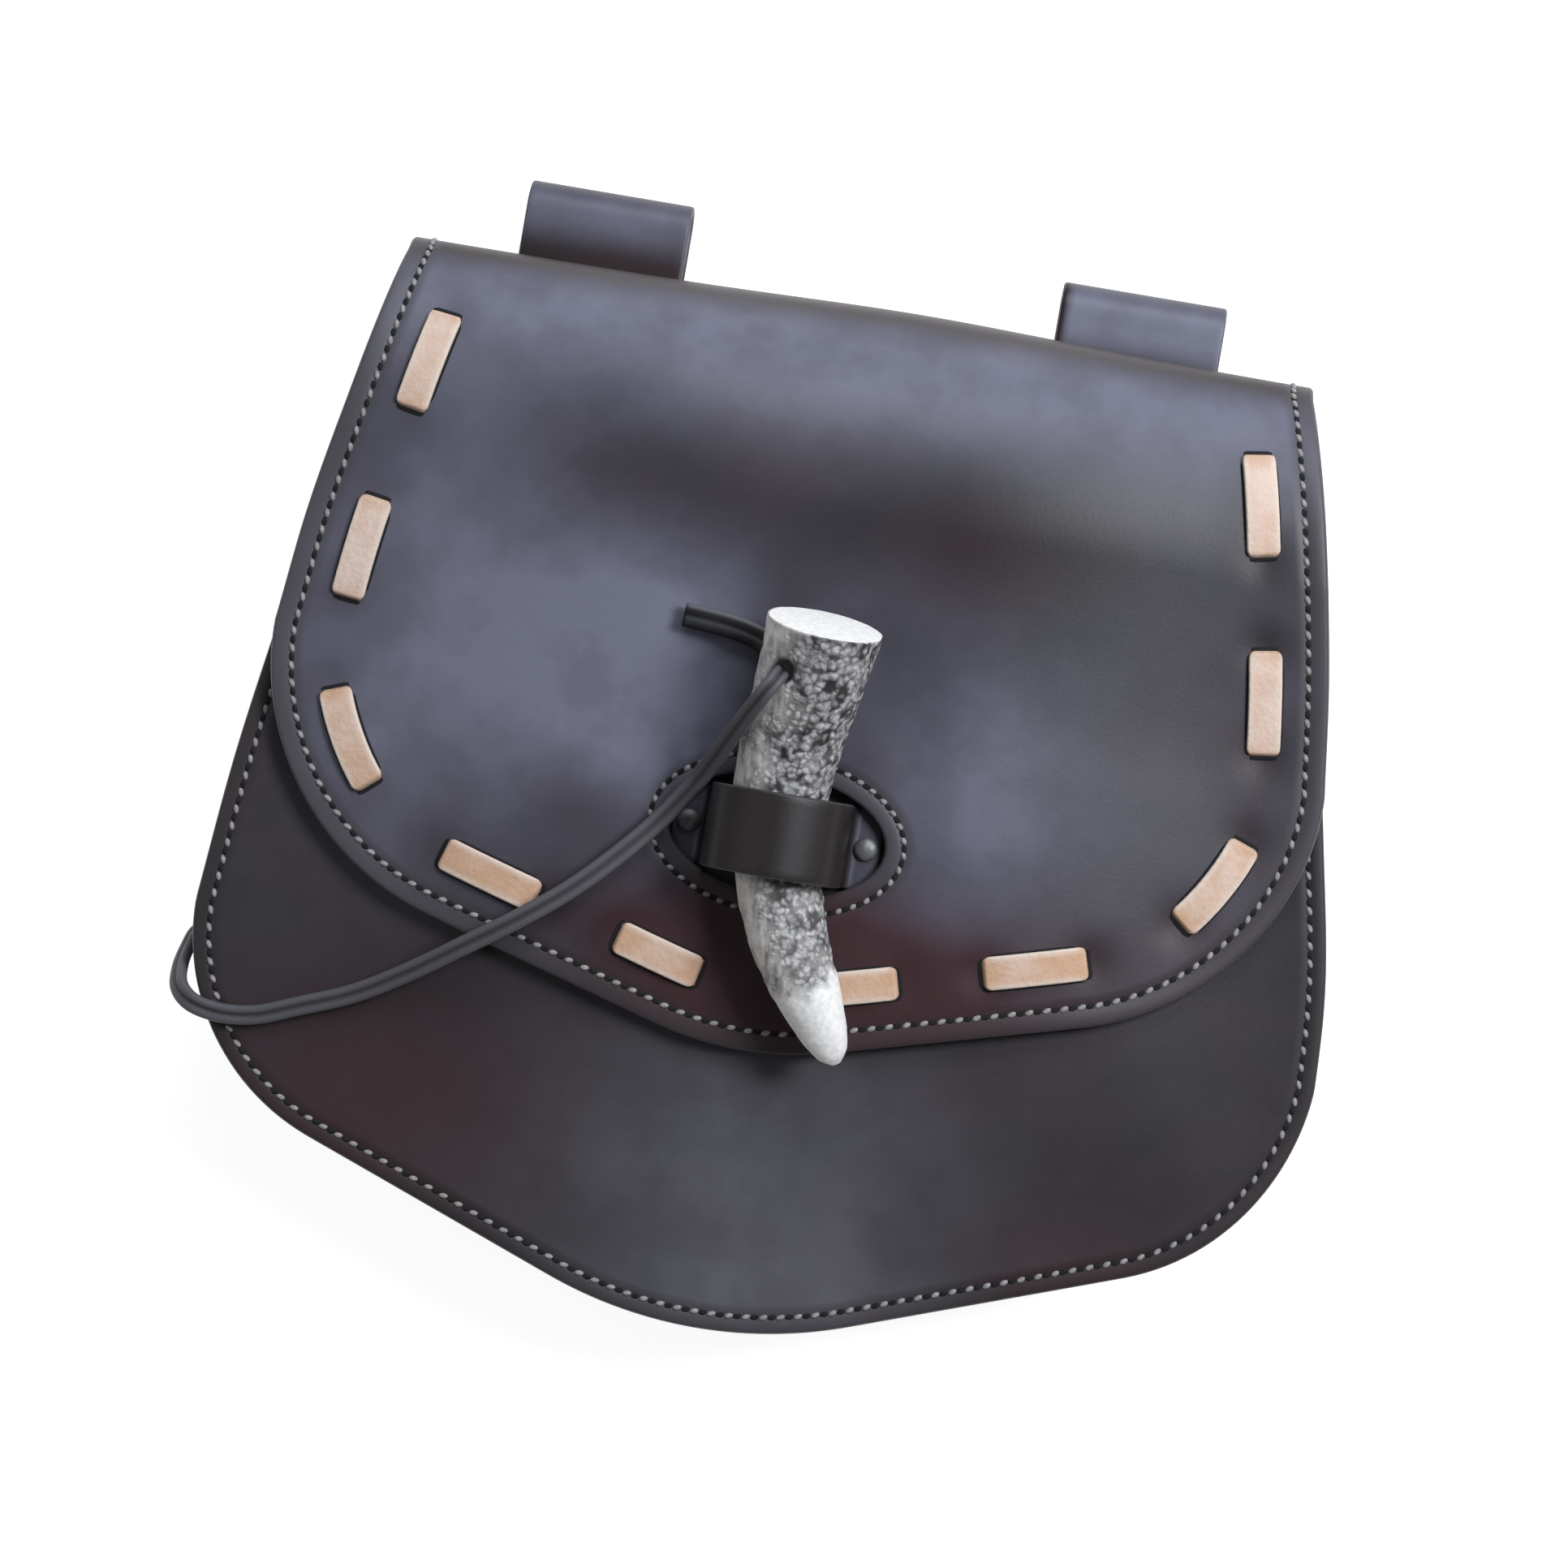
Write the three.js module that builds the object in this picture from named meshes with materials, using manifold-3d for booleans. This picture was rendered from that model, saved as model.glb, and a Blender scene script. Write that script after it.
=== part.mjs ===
// Belt pouch of dark leather: a laced flap, closed by an antler toggle on a thong.
// It lies on its back, in millimetres: X to its right, Y towards its top, Z out of its front.
// "down" is the distance below the top edge, "across" is the distance right of the middle.
import * as THREE from 'three';
import { mergeVertices } from 'three/addons/utils/BufferGeometryUtils.js';
import Module from 'manifold-3d';

// Leather thicknesses, and the gap between pieces that touch
const LEATHER = 2.2;
const STRAP = 1.8;
const LACE = 1.4;
const FIT = 0.3;
const LACE_FIT = 0.45;

// Outlines of the body and of the flap: half widths down the sides, a rounded corner at the widest
// place, and a bottom edge that slopes in degrees to a rounded tip. The apex is the tip's sharp corner.
const BODY = {
  side: [
    { down: 0, half: 97 },
    { down: 40, half: 106.2 },
    { down: 80, half: 112.2 },
    { down: 115, half: 117.2 },
  ],
  wide: 120.2,
  corner: 49,
  slope: 20,
  apex: 224.9,
  tip: 95,
};
const FLAP = {
  side: [
    { down: 0, half: 97 },
    { down: 30, half: 104.2 },
    { down: 60, half: 110 },
  ],
  wide: 113,
  corner: 58,
  slope: 15.5,
  apex: 161.1,
  tip: 71,
};

// Heights above the surface that the pouch lies on
const SEAM = 40;
const SEAM_RISE = 3;
const DOME = 9;
const DOME_FROM = 2;
const DOME_TO = 76;
const DOME_SOFTNESS = 8;
const FLAP_GAP = 2.7;

// The back lies flat below the belt loops and climbs over them
const LIFT = 12;
const LIFT_FROM = 86;
const LIFT_TO = 6;

// The roll over the top: where it meets the flap and the back, and its outermost line
const ROLL = { front: 42, back: 14, top: -1.5, height: 26 };

const FRONT_TOP = 26;
const SEAM_WIDTH = 6.3;
const SEAM_INSET = 0.5;
const GUSSET_BULGE = 2;

// Belt loops: folded straps; the run lists where each one follows the back, from its lower end
const LOOP = { across: 57.5, width: 34.5, rise: 19, run: [54, 40, 27, 14, 3] };

// Flap window and the strap in it
const WINDOW = { down: 112.3, halfLong: 22.8, halfTall: 12.6 };
const KEEPER_WIDTH = 17.6;
const KEEPER_LINE = [
  { across: 22, up: 0.9 },
  { across: 19, up: 0.9 },
  { across: 16.2, up: 0.9 },
  { across: 14.2, up: 3.2 },
  { across: 14, up: 11 },
  { across: 11.3, up: 22.6 },
  { across: 0, up: 27.6 },
];
const RIVET = {
  across: 18.9,
  headRadius: 2.5,
  headHeight: 1.5,
  shoulder: 0.7,
  shankRadius: 1.4,
  capHeight: 0.9,
};

// Lace stitches at even steps along a line inside the flap's edge
const STITCH = { count: 10, pitch: 41.4, length: 22.6, inset: 13.6, width: 6.6, tail: 9 };

// Sections of the antler, from its sawn end to its tip; lift is its clearance over the flap
const ANTLER = [
  { down: 68.9, across: 3, thick: 24.3, lift: 9.5 },
  { down: 79.3, across: 1.9, thick: 22.7, lift: 6 },
  { down: 90.2, across: 0.4, thick: 21.4, lift: 2.4 },
  { down: 100.4, across: -0.4, thick: 20.4, lift: 0.3 },
  { down: 112.1, across: 0.6, thick: 19.2, lift: 0 },
  { down: 122.8, across: 2.6, thick: 18, lift: 0.3 },
  { down: 134.8, across: 7.2, thick: 16.5, lift: 1.2 },
  { down: 144, across: 12.5, thick: 13.6, lift: 3 },
  { down: 151.7, across: 17.2, thick: 9.7, lift: 5 },
  { down: 155, across: 19.2, thick: 6.6, lift: 6.4 },
  { down: 156.8, across: 20.3, thick: 2.4, lift: 8.2 },
];
const ANTLER_HOLE = { across: -4.1, down: 79.2, radius: 3.1 };

// Route of the thong: from the left side, over the edge and the flap, through the toggle to its tail
const THONG_RADIUS = 2.2;
const THONG_ROUTE = [
  { across: -118.2, down: 152.4, height: 27 },
  { across: -120.3, down: 153.9, height: 27.7 },
  { across: -121.4, down: 157.6, height: 30.4 },
  { across: -121.7, down: 162, height: 34.9 },
  { across: -120.5, down: 165.9, height: 39.4 },
  { across: -117, down: 168.5, height: 42.5 },
  { across: -111.3, down: 169.7, height: 42.9 },
  { across: -103.4, down: 169, height: 43 },
  { across: -94, down: 165.4, height: 43.9 },
  { across: -83, down: 160.8, height: 45.8 },
  { across: -72, down: 154.2, height: 49.6 },
  { across: -60, down: 145.8, height: 54.8 },
  { across: -50, down: 138.6, height: 57.4 },
  { across: -40.5, down: 130.8, height: 57.6 },
  { across: -31.5, down: 121.6, height: 57.2 },
  { across: -24, down: 112.6, height: 57.4 },
  { across: -18.4, down: 104.4, height: 61 },
  { across: -14, down: 96.8, height: 69 },
  { across: -10, down: 89.6, height: 77.6 },
  { across: -6.4, down: 83.4, height: 83 },
  { across: -4.3, down: 79.8, height: 81.6 },
  { across: -4.1, down: 79.2, height: 76 },
  { across: -4.1, down: 79.2, height: 68 },
  { across: -4.3, down: 79.1, height: 61.5 },
  { across: -6, down: 76.2, height: 57.8 },
  { across: -9.2, down: 73.1, height: 56.7 },
  { across: -14, down: 71.5, height: 56.7 },
  { across: -20, down: 70.7, height: 56.8 },
  { across: -26.8, down: 70.2, height: 56.9 },
];

// How finely the pieces are divided
const FINE = {
  panel: 12,
  flapPanel: 16,
  body: 22,
  flap: 18,
  roll: 8,
  window: 14,
  gusset: 44,
  wall: 4,
  loop: 40,
  keeper: 30,
  round: 12,
  lace: 40,
  antler: 26,
  antlerSides: 16,
  thong: 78,
  thongArc: 4,
};

const wasm = await Module();
wasm.setup();

const { clamp, degToRad, lerp, smoothstep } = THREE.MathUtils;
const BODY_TIP = BODY.apex - BODY.tip / Math.cos(degToRad(BODY.slope)) + BODY.tip;
const TOP_Y = (BODY_TIP - LOOP.rise) / 2;

const spot = (across, down, height) => new THREE.Vector3(across, TOP_Y - down, height);

// Right half of an outline, from the top edge to the tip, as half width and distance down
function halfOutline({ side, wide, corner, slope, apex, tip }) {
  const lean = degToRad(slope);
  const turn = Math.PI / 2 - lean;
  const cornerDown = apex - wide * Math.tan(lean) - corner * Math.tan(turn / 2);
  const sideLine = side.map((row) => new THREE.Vector2(row.half, row.down));
  sideLine.push(new THREE.Vector2(wide, cornerDown));
  const cornerArc = new THREE.EllipseCurve(wide - corner, cornerDown, corner, corner, 0, turn);
  const tipArc = new THREE.EllipseCurve(0, apex - tip / Math.cos(lean), tip, tip, turn, Math.PI / 2);
  const outline = new THREE.CurvePath();
  outline.add(new THREE.SplineCurve(sideLine));
  outline.add(cornerArc);
  outline.add(new THREE.LineCurve(cornerArc.getPoint(1), tipArc.getPoint(0)));
  outline.add(tipArc);
  return outline;
}

const bodyOutline = halfOutline(BODY);
const flapOutline = halfOutline(FLAP);

// Share of an outline's length at which it is that far down its side, which ends before SIDE_SHARE
const SIDE_SHARE = 0.6;

function shareAt(outline, down) {
  const halvings = 40;
  let low = 0;
  let high = SIDE_SHARE;
  for (let step = 0; step < halvings; step += 1) {
    const middle = (low + high) / 2;
    if (outline.getPoint(middle).y < down) low = middle;
    else high = middle;
  }
  return low;
}

const halfAt = (outline, down) => outline.getPoint(shareAt(outline, down)).x;

// Rows of a panel from its tip up to a level, evenly spaced along its edge
function rowsUpTo(outline, down, count) {
  const start = shareAt(outline, down);
  return Array.from({ length: count + 1 }, (_, i) => {
    const point = outline.getPoint(lerp(1, start, i / count));
    return { half: i === 0 ? 0 : point.x, down: point.y };
  });
}

const backLift = (down) => LIFT * (1 - smoothstep(down, LIFT_TO, LIFT_FROM));

// Soft distance inside the body's straight sides and its two bottom edges
function insideDistance(across, down) {
  const lean = degToRad(BODY.slope);
  const top = BODY.side[0];
  const cornerDown = BODY.apex - BODY.wide * Math.tan(lean);
  const side = Math.atan2(BODY.wide - top.half, cornerDown - top.down);
  let sum = 0;
  for (const x of [across, -across]) {
    const fromSide = (top.half - x) * Math.cos(side) + (down - top.down) * Math.sin(side);
    const fromBottom = (BODY.apex - down) * Math.cos(lean) - x * Math.sin(lean);
    sum += Math.exp(-fromSide / DOME_SOFTNESS) + Math.exp(-fromBottom / DOME_SOFTNESS);
  }
  return -DOME_SOFTNESS * Math.log(sum);
}

// Share of the front's height that is left where it rolls over the top
function rollShare(down) {
  const reach = clamp((ROLL.front - down) / (ROLL.front - ROLL.top), 0, 1);
  return Math.sqrt(1 - reach * reach);
}

function frontTop(across, down) {
  const dome = DOME * smoothstep(insideDistance(across, down), DOME_FROM, DOME_TO);
  const flat = SEAM + (SEAM_RISE * backLift(down)) / LIFT + dome;
  return ROLL.height + (flat - ROLL.height) * rollShare(down);
}

function flapTop(across, down) {
  const front = frontTop(across, Math.max(down, ROLL.front));
  return ROLL.height + (front + FLAP_GAP + LEATHER - ROLL.height) * rollShare(down);
}

// Closed solid made by bending a box of columns, rows and two layers
function bentBox(columns, rows, place) {
  const geometry = new THREE.BoxGeometry(columns, rows, 1, columns, rows, 1);
  const points = geometry.getAttribute('position');
  const corner = new THREE.Vector3();
  for (let i = 0; i < points.count; i += 1) {
    corner.fromBufferAttribute(points, i);
    const column = Math.round(corner.x + columns / 2);
    const row = Math.round(corner.y + rows / 2);
    const layer = Math.round(corner.z + 0.5);
    place(column, row, layer).toArray(points.array, 3 * i);
  }
  return geometry;
}

// Leather sheet whose outer face is given for each row and each share of its half width
function sheet(rows, columns, thickness, outer) {
  const last = rows.length - 1;
  const step = 2 / columns;
  const normal = (i, share) => {
    const tip = rows[i].half === 0;
    const row = tip ? clamp(i, 1, last - 1) : i;
    const at = tip ? 0 : share;
    const along = outer(rows[Math.min(i + 1, last)], at).sub(outer(rows[Math.max(i - 1, 0)], at));
    const right = outer(rows[row], Math.min(at + step, 1));
    const across = right.sub(outer(rows[row], Math.max(at - step, -1)));
    return across.cross(along).normalize();
  };
  return bentBox(columns, last, (column, row, layer) => {
    const share = column * step - 1;
    const point = outer(rows[row], share);
    return layer === 1 ? point : point.addScaledVector(normal(row, share), -thickness);
  });
}

// Strap of even thickness bent along a line in a plane; toSpace places it across its width
function bentStrap(line, steps, thickness, toSpace) {
  return bentBox(steps, 1, (column, row, layer) => {
    const share = column / steps;
    const tangent = line.getTangent(share);
    const side = (layer - 0.5) * thickness;
    const point = line.getPoint(share);
    return toSpace(point.x - tangent.y * side, point.y + tangent.x * side, row - 0.5);
  });
}

function solidOf(geometry) {
  const bare = new THREE.BufferGeometry();
  bare.setAttribute('position', geometry.getAttribute('position'));
  bare.setIndex(geometry.getIndex());
  const merged = mergeVertices(bare, 1e-3);
  const corners = merged.getIndex().array;
  const kept = [];
  for (let i = 0; i < corners.length; i += 3) {
    const [a, b, c] = corners.slice(i, i + 3);
    if (a !== b && b !== c && c !== a) kept.push(a, b, c);
  }
  const vertProperties = merged.getAttribute('position').array;
  return new wasm.Manifold(new wasm.Mesh({ numProp: 3, vertProperties, triVerts: new Uint32Array(kept) }));
}

function geometryOf(solid) {
  const { vertProperties, triVerts } = solid.getMesh();
  const geometry = new THREE.BufferGeometry();
  geometry.setAttribute('position', new THREE.BufferAttribute(vertProperties, 3));
  geometry.setIndex(new THREE.BufferAttribute(triVerts, 1));
  geometry.computeVertexNormals();
  return geometry;
}

// A piece with other shapes cut out of it; with none it is only made closed
const cutFrom = (geometry, ...cutters) =>
  geometryOf(cutters.reduce((solid, cutter) => solid.subtract(solidOf(cutter)), solidOf(geometry)));

function frontPanel() {
  const rows = rowsUpTo(bodyOutline, FRONT_TOP, FINE.body);
  const outer = (row, share) => {
    const across = row.half * share;
    return spot(across, row.down, frontTop(across, row.down));
  };
  return cutFrom(sheet(rows, FINE.panel, LEATHER, outer), ...rivetHoles());
}

// Rows of the back and flap piece, from the flap's tip over the top to the back's tip
function backAndFlapRows() {
  const rows = rowsUpTo(flapOutline, ROLL.front, FINE.flap).map((row) => ({ ...row, roll: 0 }));
  const quarter = Math.PI / 2;
  for (let i = 1; i <= FINE.roll; i += 1) {
    const angle = (quarter * i) / FINE.roll;
    const down = ROLL.front - (ROLL.front - ROLL.top) * Math.sin(angle);
    rows.push({ half: halfAt(flapOutline, down), down, roll: angle });
  }
  for (let i = 1; i < FINE.roll; i += 1) {
    const angle = (quarter * i) / FINE.roll;
    const down = ROLL.back - (ROLL.back - ROLL.top) * Math.cos(angle);
    rows.push({ half: halfAt(bodyOutline, down), down, roll: quarter + angle });
  }
  const back = rowsUpTo(bodyOutline, ROLL.back, FINE.body).reverse();
  return [...rows, ...back.map((row) => ({ ...row, roll: Math.PI }))];
}

function backAndFlap() {
  const outer = ({ half, down, roll }, share) => {
    const across = half * share;
    if (roll <= Math.PI / 2) return spot(across, down, flapTop(across, down));
    const low = backLift(Math.max(down, ROLL.back));
    return spot(across, down, lerp(ROLL.height, low, roll === Math.PI ? 1 : Math.sin(roll - Math.PI / 2)));
  };
  const oval = new THREE.Shape().absellipse(0, 0, WINDOW.halfLong, WINDOW.halfTall, 0, 2 * Math.PI);
  const cutter = new THREE.ExtrudeGeometry(oval, {
    depth: SEAM,
    bevelEnabled: false,
    curveSegments: FINE.window,
  });
  cutter.translate(0, TOP_Y - WINDOW.down, SEAM);
  return cutFrom(sheet(backAndFlapRows(), FINE.flapPanel, LEATHER, outer), cutter, ...laceSlots());
}

// Channel-shaped strip: flanges turned out along the seams, with the wall bowed between them
function gusset() {
  const right = rowsUpTo(bodyOutline, FRONT_TOP, FINE.gusset / 2);
  const left = right.slice(1).map(({ half, down }) => ({ half: -half, down }));
  const edge = [...left.reverse(), ...right];
  const last = edge.length - 1;
  const inward = (i) => {
    const from = edge[Math.max(i - 1, 0)];
    const to = edge[Math.min(i + 1, last)];
    return new THREE.Vector2(to.down - from.down, to.half - from.half).normalize();
  };
  return bentBox(FINE.wall + 2, last, (column, row, layer) => {
    const { half, down } = edge[row];
    const turn = inward(row);
    const thick = layer === 1 ? 0 : STRAP;
    const height = clamp((column - 1) / FINE.wall, 0, 1);
    const flange = column === 0 || column === FINE.wall + 2;
    const bow = GUSSET_BULGE * Math.sin(Math.PI * height);
    const inset = flange ? SEAM_INSET : SEAM_WIDTH - thick - bow;
    const seamAcross = half + turn.x * SEAM_WIDTH;
    const seamDown = down - turn.y * SEAM_WIDTH;
    const low = backLift(down - turn.y * inset) + LEATHER + FIT + thick;
    const high = frontTop(seamAcross, seamDown) - LEATHER - FIT - thick;
    return spot(half + turn.x * inset, down - turn.y * inset, lerp(low, high, height));
  });
}

function beltLoop(across) {
  const middle = (LIFT - FIT) / 2;
  const bend = middle - STRAP / 2;
  const fold = middle - LOOP.rise;
  const run = [...LOOP.run, fold].map((down) => new THREE.Vector2(down, backLift(down) - FIT - STRAP / 2));
  const line = new THREE.CurvePath();
  line.add(new THREE.SplineCurve(run));
  line.add(new THREE.EllipseCurve(fold, middle, bend, bend, Math.PI / 2, 1.5 * Math.PI));
  line.add(new THREE.LineCurve(line.curves[1].getPoint(1), new THREE.Vector2(LOOP.run[0], STRAP / 2)));
  const place = (down, height, share) => spot(across + share * LOOP.width, down, height);
  return bentStrap(line, FINE.loop, STRAP, place);
}

const keeperBase = frontTop(0, WINDOW.down) + FIT;

function keeperStrap() {
  const right = KEEPER_LINE.map(({ across, up }) => new THREE.Vector2(across, up));
  const left = KEEPER_LINE.slice(0, -1).map(({ across, up }) => new THREE.Vector2(-across, up));
  const line = new THREE.SplineCurve([...left, ...right.reverse()]);
  const place = (across, up, share) => spot(across, WINDOW.down - share * KEEPER_WIDTH, keeperBase + up);
  return cutFrom(bentStrap(line, FINE.keeper, STRAP, place), ...rivetHoles());
}

function rivetHoles() {
  const radius = RIVET.shankRadius + FIT;
  return [-RIVET.across, RIVET.across].map((across) => {
    const hole = new THREE.CylinderGeometry(radius, radius, 4 * LEATHER, FINE.round);
    hole.rotateX(Math.PI / 2);
    return hole.translate(across, TOP_Y - WINDOW.down, keeperBase);
  });
}

// Rivet through the strap's foot and the front panel, with a domed head and a flat cap inside
function rivet(across) {
  const { headRadius, headHeight, shoulder, shankRadius, capHeight } = RIVET;
  const foot = KEEPER_LINE[0].up + STRAP / 2 + FIT;
  const inside = -2 * FIT - LEATHER;
  const profile = [
    new THREE.Vector2(0, inside - capHeight),
    new THREE.Vector2(headRadius, inside - capHeight),
    new THREE.Vector2(headRadius, inside),
    new THREE.Vector2(shankRadius, inside),
    new THREE.Vector2(shankRadius, foot),
    new THREE.Vector2(headRadius, foot),
    new THREE.Vector2(shoulder * headRadius, foot + shoulder * headHeight),
    new THREE.Vector2(0, foot + headHeight),
  ];
  const geometry = new THREE.LatheGeometry(profile, FINE.round).rotateX(Math.PI / 2);
  return geometry.translate(across, TOP_Y - WINDOW.down, keeperBase);
}

// The line of the lace inside the flap's edge, from the left to the right
function laceLine() {
  const near = 0.001;
  const right = Array.from({ length: FINE.lace + 1 }, (_, i) => {
    const share = 1 - i / FINE.lace;
    const before = flapOutline.getPoint(Math.max(share - near, 0));
    const along = flapOutline.getPoint(Math.min(share + near, 1)).sub(before).normalize();
    const edge = flapOutline.getPoint(share);
    return new THREE.Vector2(edge.x - along.y * STITCH.inset, edge.y + along.x * STITCH.inset);
  });
  const left = right.slice(1).map((point) => new THREE.Vector2(-point.x, point.y));
  return new THREE.SplineCurve([...left.reverse(), ...right]);
}

const laceCurve = laceLine();
const laceLength = laceCurve.getLength();

// Point near the flap's outer face: along the lace's line, to its side and out of the face
function onFlap(along, aside, out) {
  const share = clamp(along / laceLength + 0.5, 0, 1);
  const point = laceCurve.getPointAt(share);
  const tangent = laceCurve.getTangentAt(share);
  const delta = 0.5;
  const slope = (x, y) => flapTop(point.x + x, point.y + y);
  const right = new THREE.Vector3(2 * delta, 0, slope(delta, 0) - slope(-delta, 0));
  const up = new THREE.Vector3(0, 2 * delta, slope(0, -delta) - slope(0, delta));
  const normal = right.cross(up).normalize();
  const forward = new THREE.Vector3(tangent.x, -tangent.y, 0).projectOnPlane(normal).normalize();
  const sideways = normal.clone().cross(forward);
  const place = spot(point.x, point.y, flapTop(point.x, point.y));
  return place.addScaledVector(sideways, aside).addScaledVector(normal, out);
}

// Both ends of each stitch along that line, measured from its middle
const stitchEnds = Array.from({ length: STITCH.count }, (_, i) => {
  const centre = (i - (STITCH.count - 1) / 2) * STITCH.pitch;
  return [centre - STITCH.length / 2, centre + STITCH.length / 2];
}).flat();

function laceSlots() {
  const reach = LACE / 2 + LACE_FIT;
  const side = STITCH.width / 2 + LACE_FIT;
  return stitchEnds.map((end) =>
    bentBox(1, 1, (column, row, layer) =>
      onFlap(end + (2 * column - 1) * reach, (2 * row - 1) * side, layer === 1 ? LEATHER : -2 * LEATHER)));
}

// The lace as stations, each with its upper and its lower corner: over the flap, then under it
function laceStations() {
  const over = LACE_FIT;
  const under = -LEATHER - LACE_FIT - LACE;
  const clear = LACE;
  const stations = [];
  const run = (from, to, low, steps) => {
    for (let i = 0; i <= steps; i += 1) {
      const at = lerp(from, to, i / steps);
      stations.push({ upper: [at, low + LACE], lower: [at, low] });
    }
  };
  const leg = (at, rising) => {
    const reach = rising ? LACE / 2 : -LACE / 2;
    const levels = rising ? [under, over] : [over, under];
    levels.forEach((low) => stations.push({ upper: [at - reach, low + LACE], lower: [at + reach, low] }));
  };
  run(stitchEnds[0] - STITCH.tail, stitchEnds[0] - clear, under, 1);
  for (let i = 0; i < stitchEnds.length; i += 2) {
    leg(stitchEnds[i], true);
    run(stitchEnds[i] + clear, stitchEnds[i + 1] - clear, over, 3);
    leg(stitchEnds[i + 1], false);
    const next = stitchEnds[i + 2] ?? stitchEnds[i + 1] + STITCH.tail + clear;
    run(stitchEnds[i + 1] + clear, next - clear, under, 2);
  }
  return stations;
}

function flapLace() {
  const stations = laceStations();
  return bentBox(stations.length - 1, 1, (column, row, layer) => {
    const [along, out] = layer === 1 ? stations[column].upper : stations[column].lower;
    return onFlap(along, (row - 0.5) * STITCH.width, out);
  });
}

function antlerToggle() {
  const centres = ANTLER.map(({ down, across, thick, lift }) =>
    spot(across, down, flapTop(across, down) + FIT + lift + thick / 2));
  const line = new THREE.CatmullRomCurve3(centres);
  const girth = new THREE.CatmullRomCurve3(ANTLER.map(({ thick }) => new THREE.Vector3(thick / 2, 0, 0)));
  const geometry = new THREE.CylinderGeometry(1, 1, 1, FINE.antlerSides, FINE.antler);
  const points = geometry.getAttribute('position');
  const up = new THREE.Vector3(0, 0, 1);
  for (let i = 0; i < points.count; i += 1) {
    const share = clamp(0.5 - points.getY(i), 0, 1);
    const forward = line.getTangent(share);
    const side = up.clone().cross(forward).normalize();
    const out = forward.clone().cross(side);
    const radius = girth.getPoint(share).x;
    const point = line.getPoint(share).addScaledVector(side, points.getX(i) * radius);
    point.addScaledVector(out, points.getZ(i) * radius).toArray(points.array, 3 * i);
  }
  const hole = new THREE.CylinderGeometry(ANTLER_HOLE.radius, ANTLER_HOLE.radius, SEAM, FINE.round);
  hole.rotateX(Math.PI / 2);
  const { x, y } = spot(ANTLER_HOLE.across, ANTLER_HOLE.down, 0);
  return cutFrom(geometry, hole.translate(x, y, 2 * SEAM));
}

function thong() {
  const route = new THREE.CatmullRomCurve3(
    THONG_ROUTE.map(({ across, down, height }) => spot(across, down, height)),
    false,
    'centripetal',
  );
  const section = new THREE.Shape().absarc(0, 0, THONG_RADIUS, 0, 2 * Math.PI);
  const fine = { steps: FINE.thong, curveSegments: FINE.thongArc };
  return new THREE.ExtrudeGeometry(section, { ...fine, extrudePath: route });
}

const finish = (color, roughness, metalness = 0) =>
  new THREE.MeshStandardMaterial({ color, roughness, metalness });
const darkLeather = () => finish(0x33313a, 0.45);

function piece(name, geometry, material) {
  const mesh = new THREE.Mesh(geometry, material);
  mesh.name = name;
  return mesh;
}

const pouch = new THREE.Group();
pouch.add(piece('back_and_flap', backAndFlap(), darkLeather()));
pouch.add(piece('front_panel', frontPanel(), darkLeather()));
pouch.add(piece('gusset', cutFrom(gusset()), darkLeather()));
pouch.add(piece('flap_lace', cutFrom(flapLace()), finish(0xc99f77, 0.8)));
pouch.add(piece('keeper_strap', keeperStrap(), darkLeather()));
pouch.add(piece('antler_toggle', antlerToggle(), finish(0xb9b4a6, 0.6)));
pouch.add(piece('thong', thong(), darkLeather()));
for (const [side, sign] of [['left', -1], ['right', 1]]) {
  pouch.add(piece(`belt_loop_${side}`, beltLoop(sign * LOOP.across), darkLeather()));
  pouch.add(piece(`rivet_${side}`, rivet(sign * RIVET.across), finish(0x8a8984, 0.35, 0.9)));
}

export default pouch;
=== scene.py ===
"""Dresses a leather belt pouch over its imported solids: laced flap, antler toggle, thong and belt loops.

Lengths are in metres. "across" runs right from the middle and "down" runs below the top edge. A leather
piece is cut flat as a pattern, along "across" and "up", and is then bent into its shape.
"""

import math

import bmesh
import bpy
from bpy.props import FloatProperty, FloatVectorProperty, PointerProperty
from mathutils import Matrix, Vector, noise


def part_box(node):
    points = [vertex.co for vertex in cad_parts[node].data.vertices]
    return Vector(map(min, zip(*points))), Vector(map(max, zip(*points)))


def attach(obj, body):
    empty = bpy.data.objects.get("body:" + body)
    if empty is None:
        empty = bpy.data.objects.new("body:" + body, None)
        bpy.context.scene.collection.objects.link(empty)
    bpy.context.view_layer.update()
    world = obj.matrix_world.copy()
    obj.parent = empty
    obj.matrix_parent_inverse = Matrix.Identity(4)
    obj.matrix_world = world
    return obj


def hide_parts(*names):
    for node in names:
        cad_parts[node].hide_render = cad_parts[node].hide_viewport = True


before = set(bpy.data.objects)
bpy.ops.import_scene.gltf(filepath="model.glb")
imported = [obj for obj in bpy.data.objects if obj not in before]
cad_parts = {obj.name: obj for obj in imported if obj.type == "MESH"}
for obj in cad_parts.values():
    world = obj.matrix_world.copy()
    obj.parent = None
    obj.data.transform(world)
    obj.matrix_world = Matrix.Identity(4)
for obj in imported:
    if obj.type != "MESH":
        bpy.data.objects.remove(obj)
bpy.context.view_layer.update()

bl_info = {
    "name": "Leather belt pouch",
    "version": (1, 0, 0),
    "blender": (4, 5, 0),
    "location": "View3D > Sidebar > Pouch",
    "description": "Builds a leather belt pouch with a laced flap and an antler toggle",
    "category": "Object",
}

BODY_NAME = "root"

# Leather thicknesses and the gap between pieces that touch
LEATHER = 0.0022
STRAP = 0.0018
LACE = 0.0014
FIT = 0.0003

# Points closer than this become one, in a skin over rings and in a panel of two faces
WELD = 0.000002
PANEL_WELD = 0.00002

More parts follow.
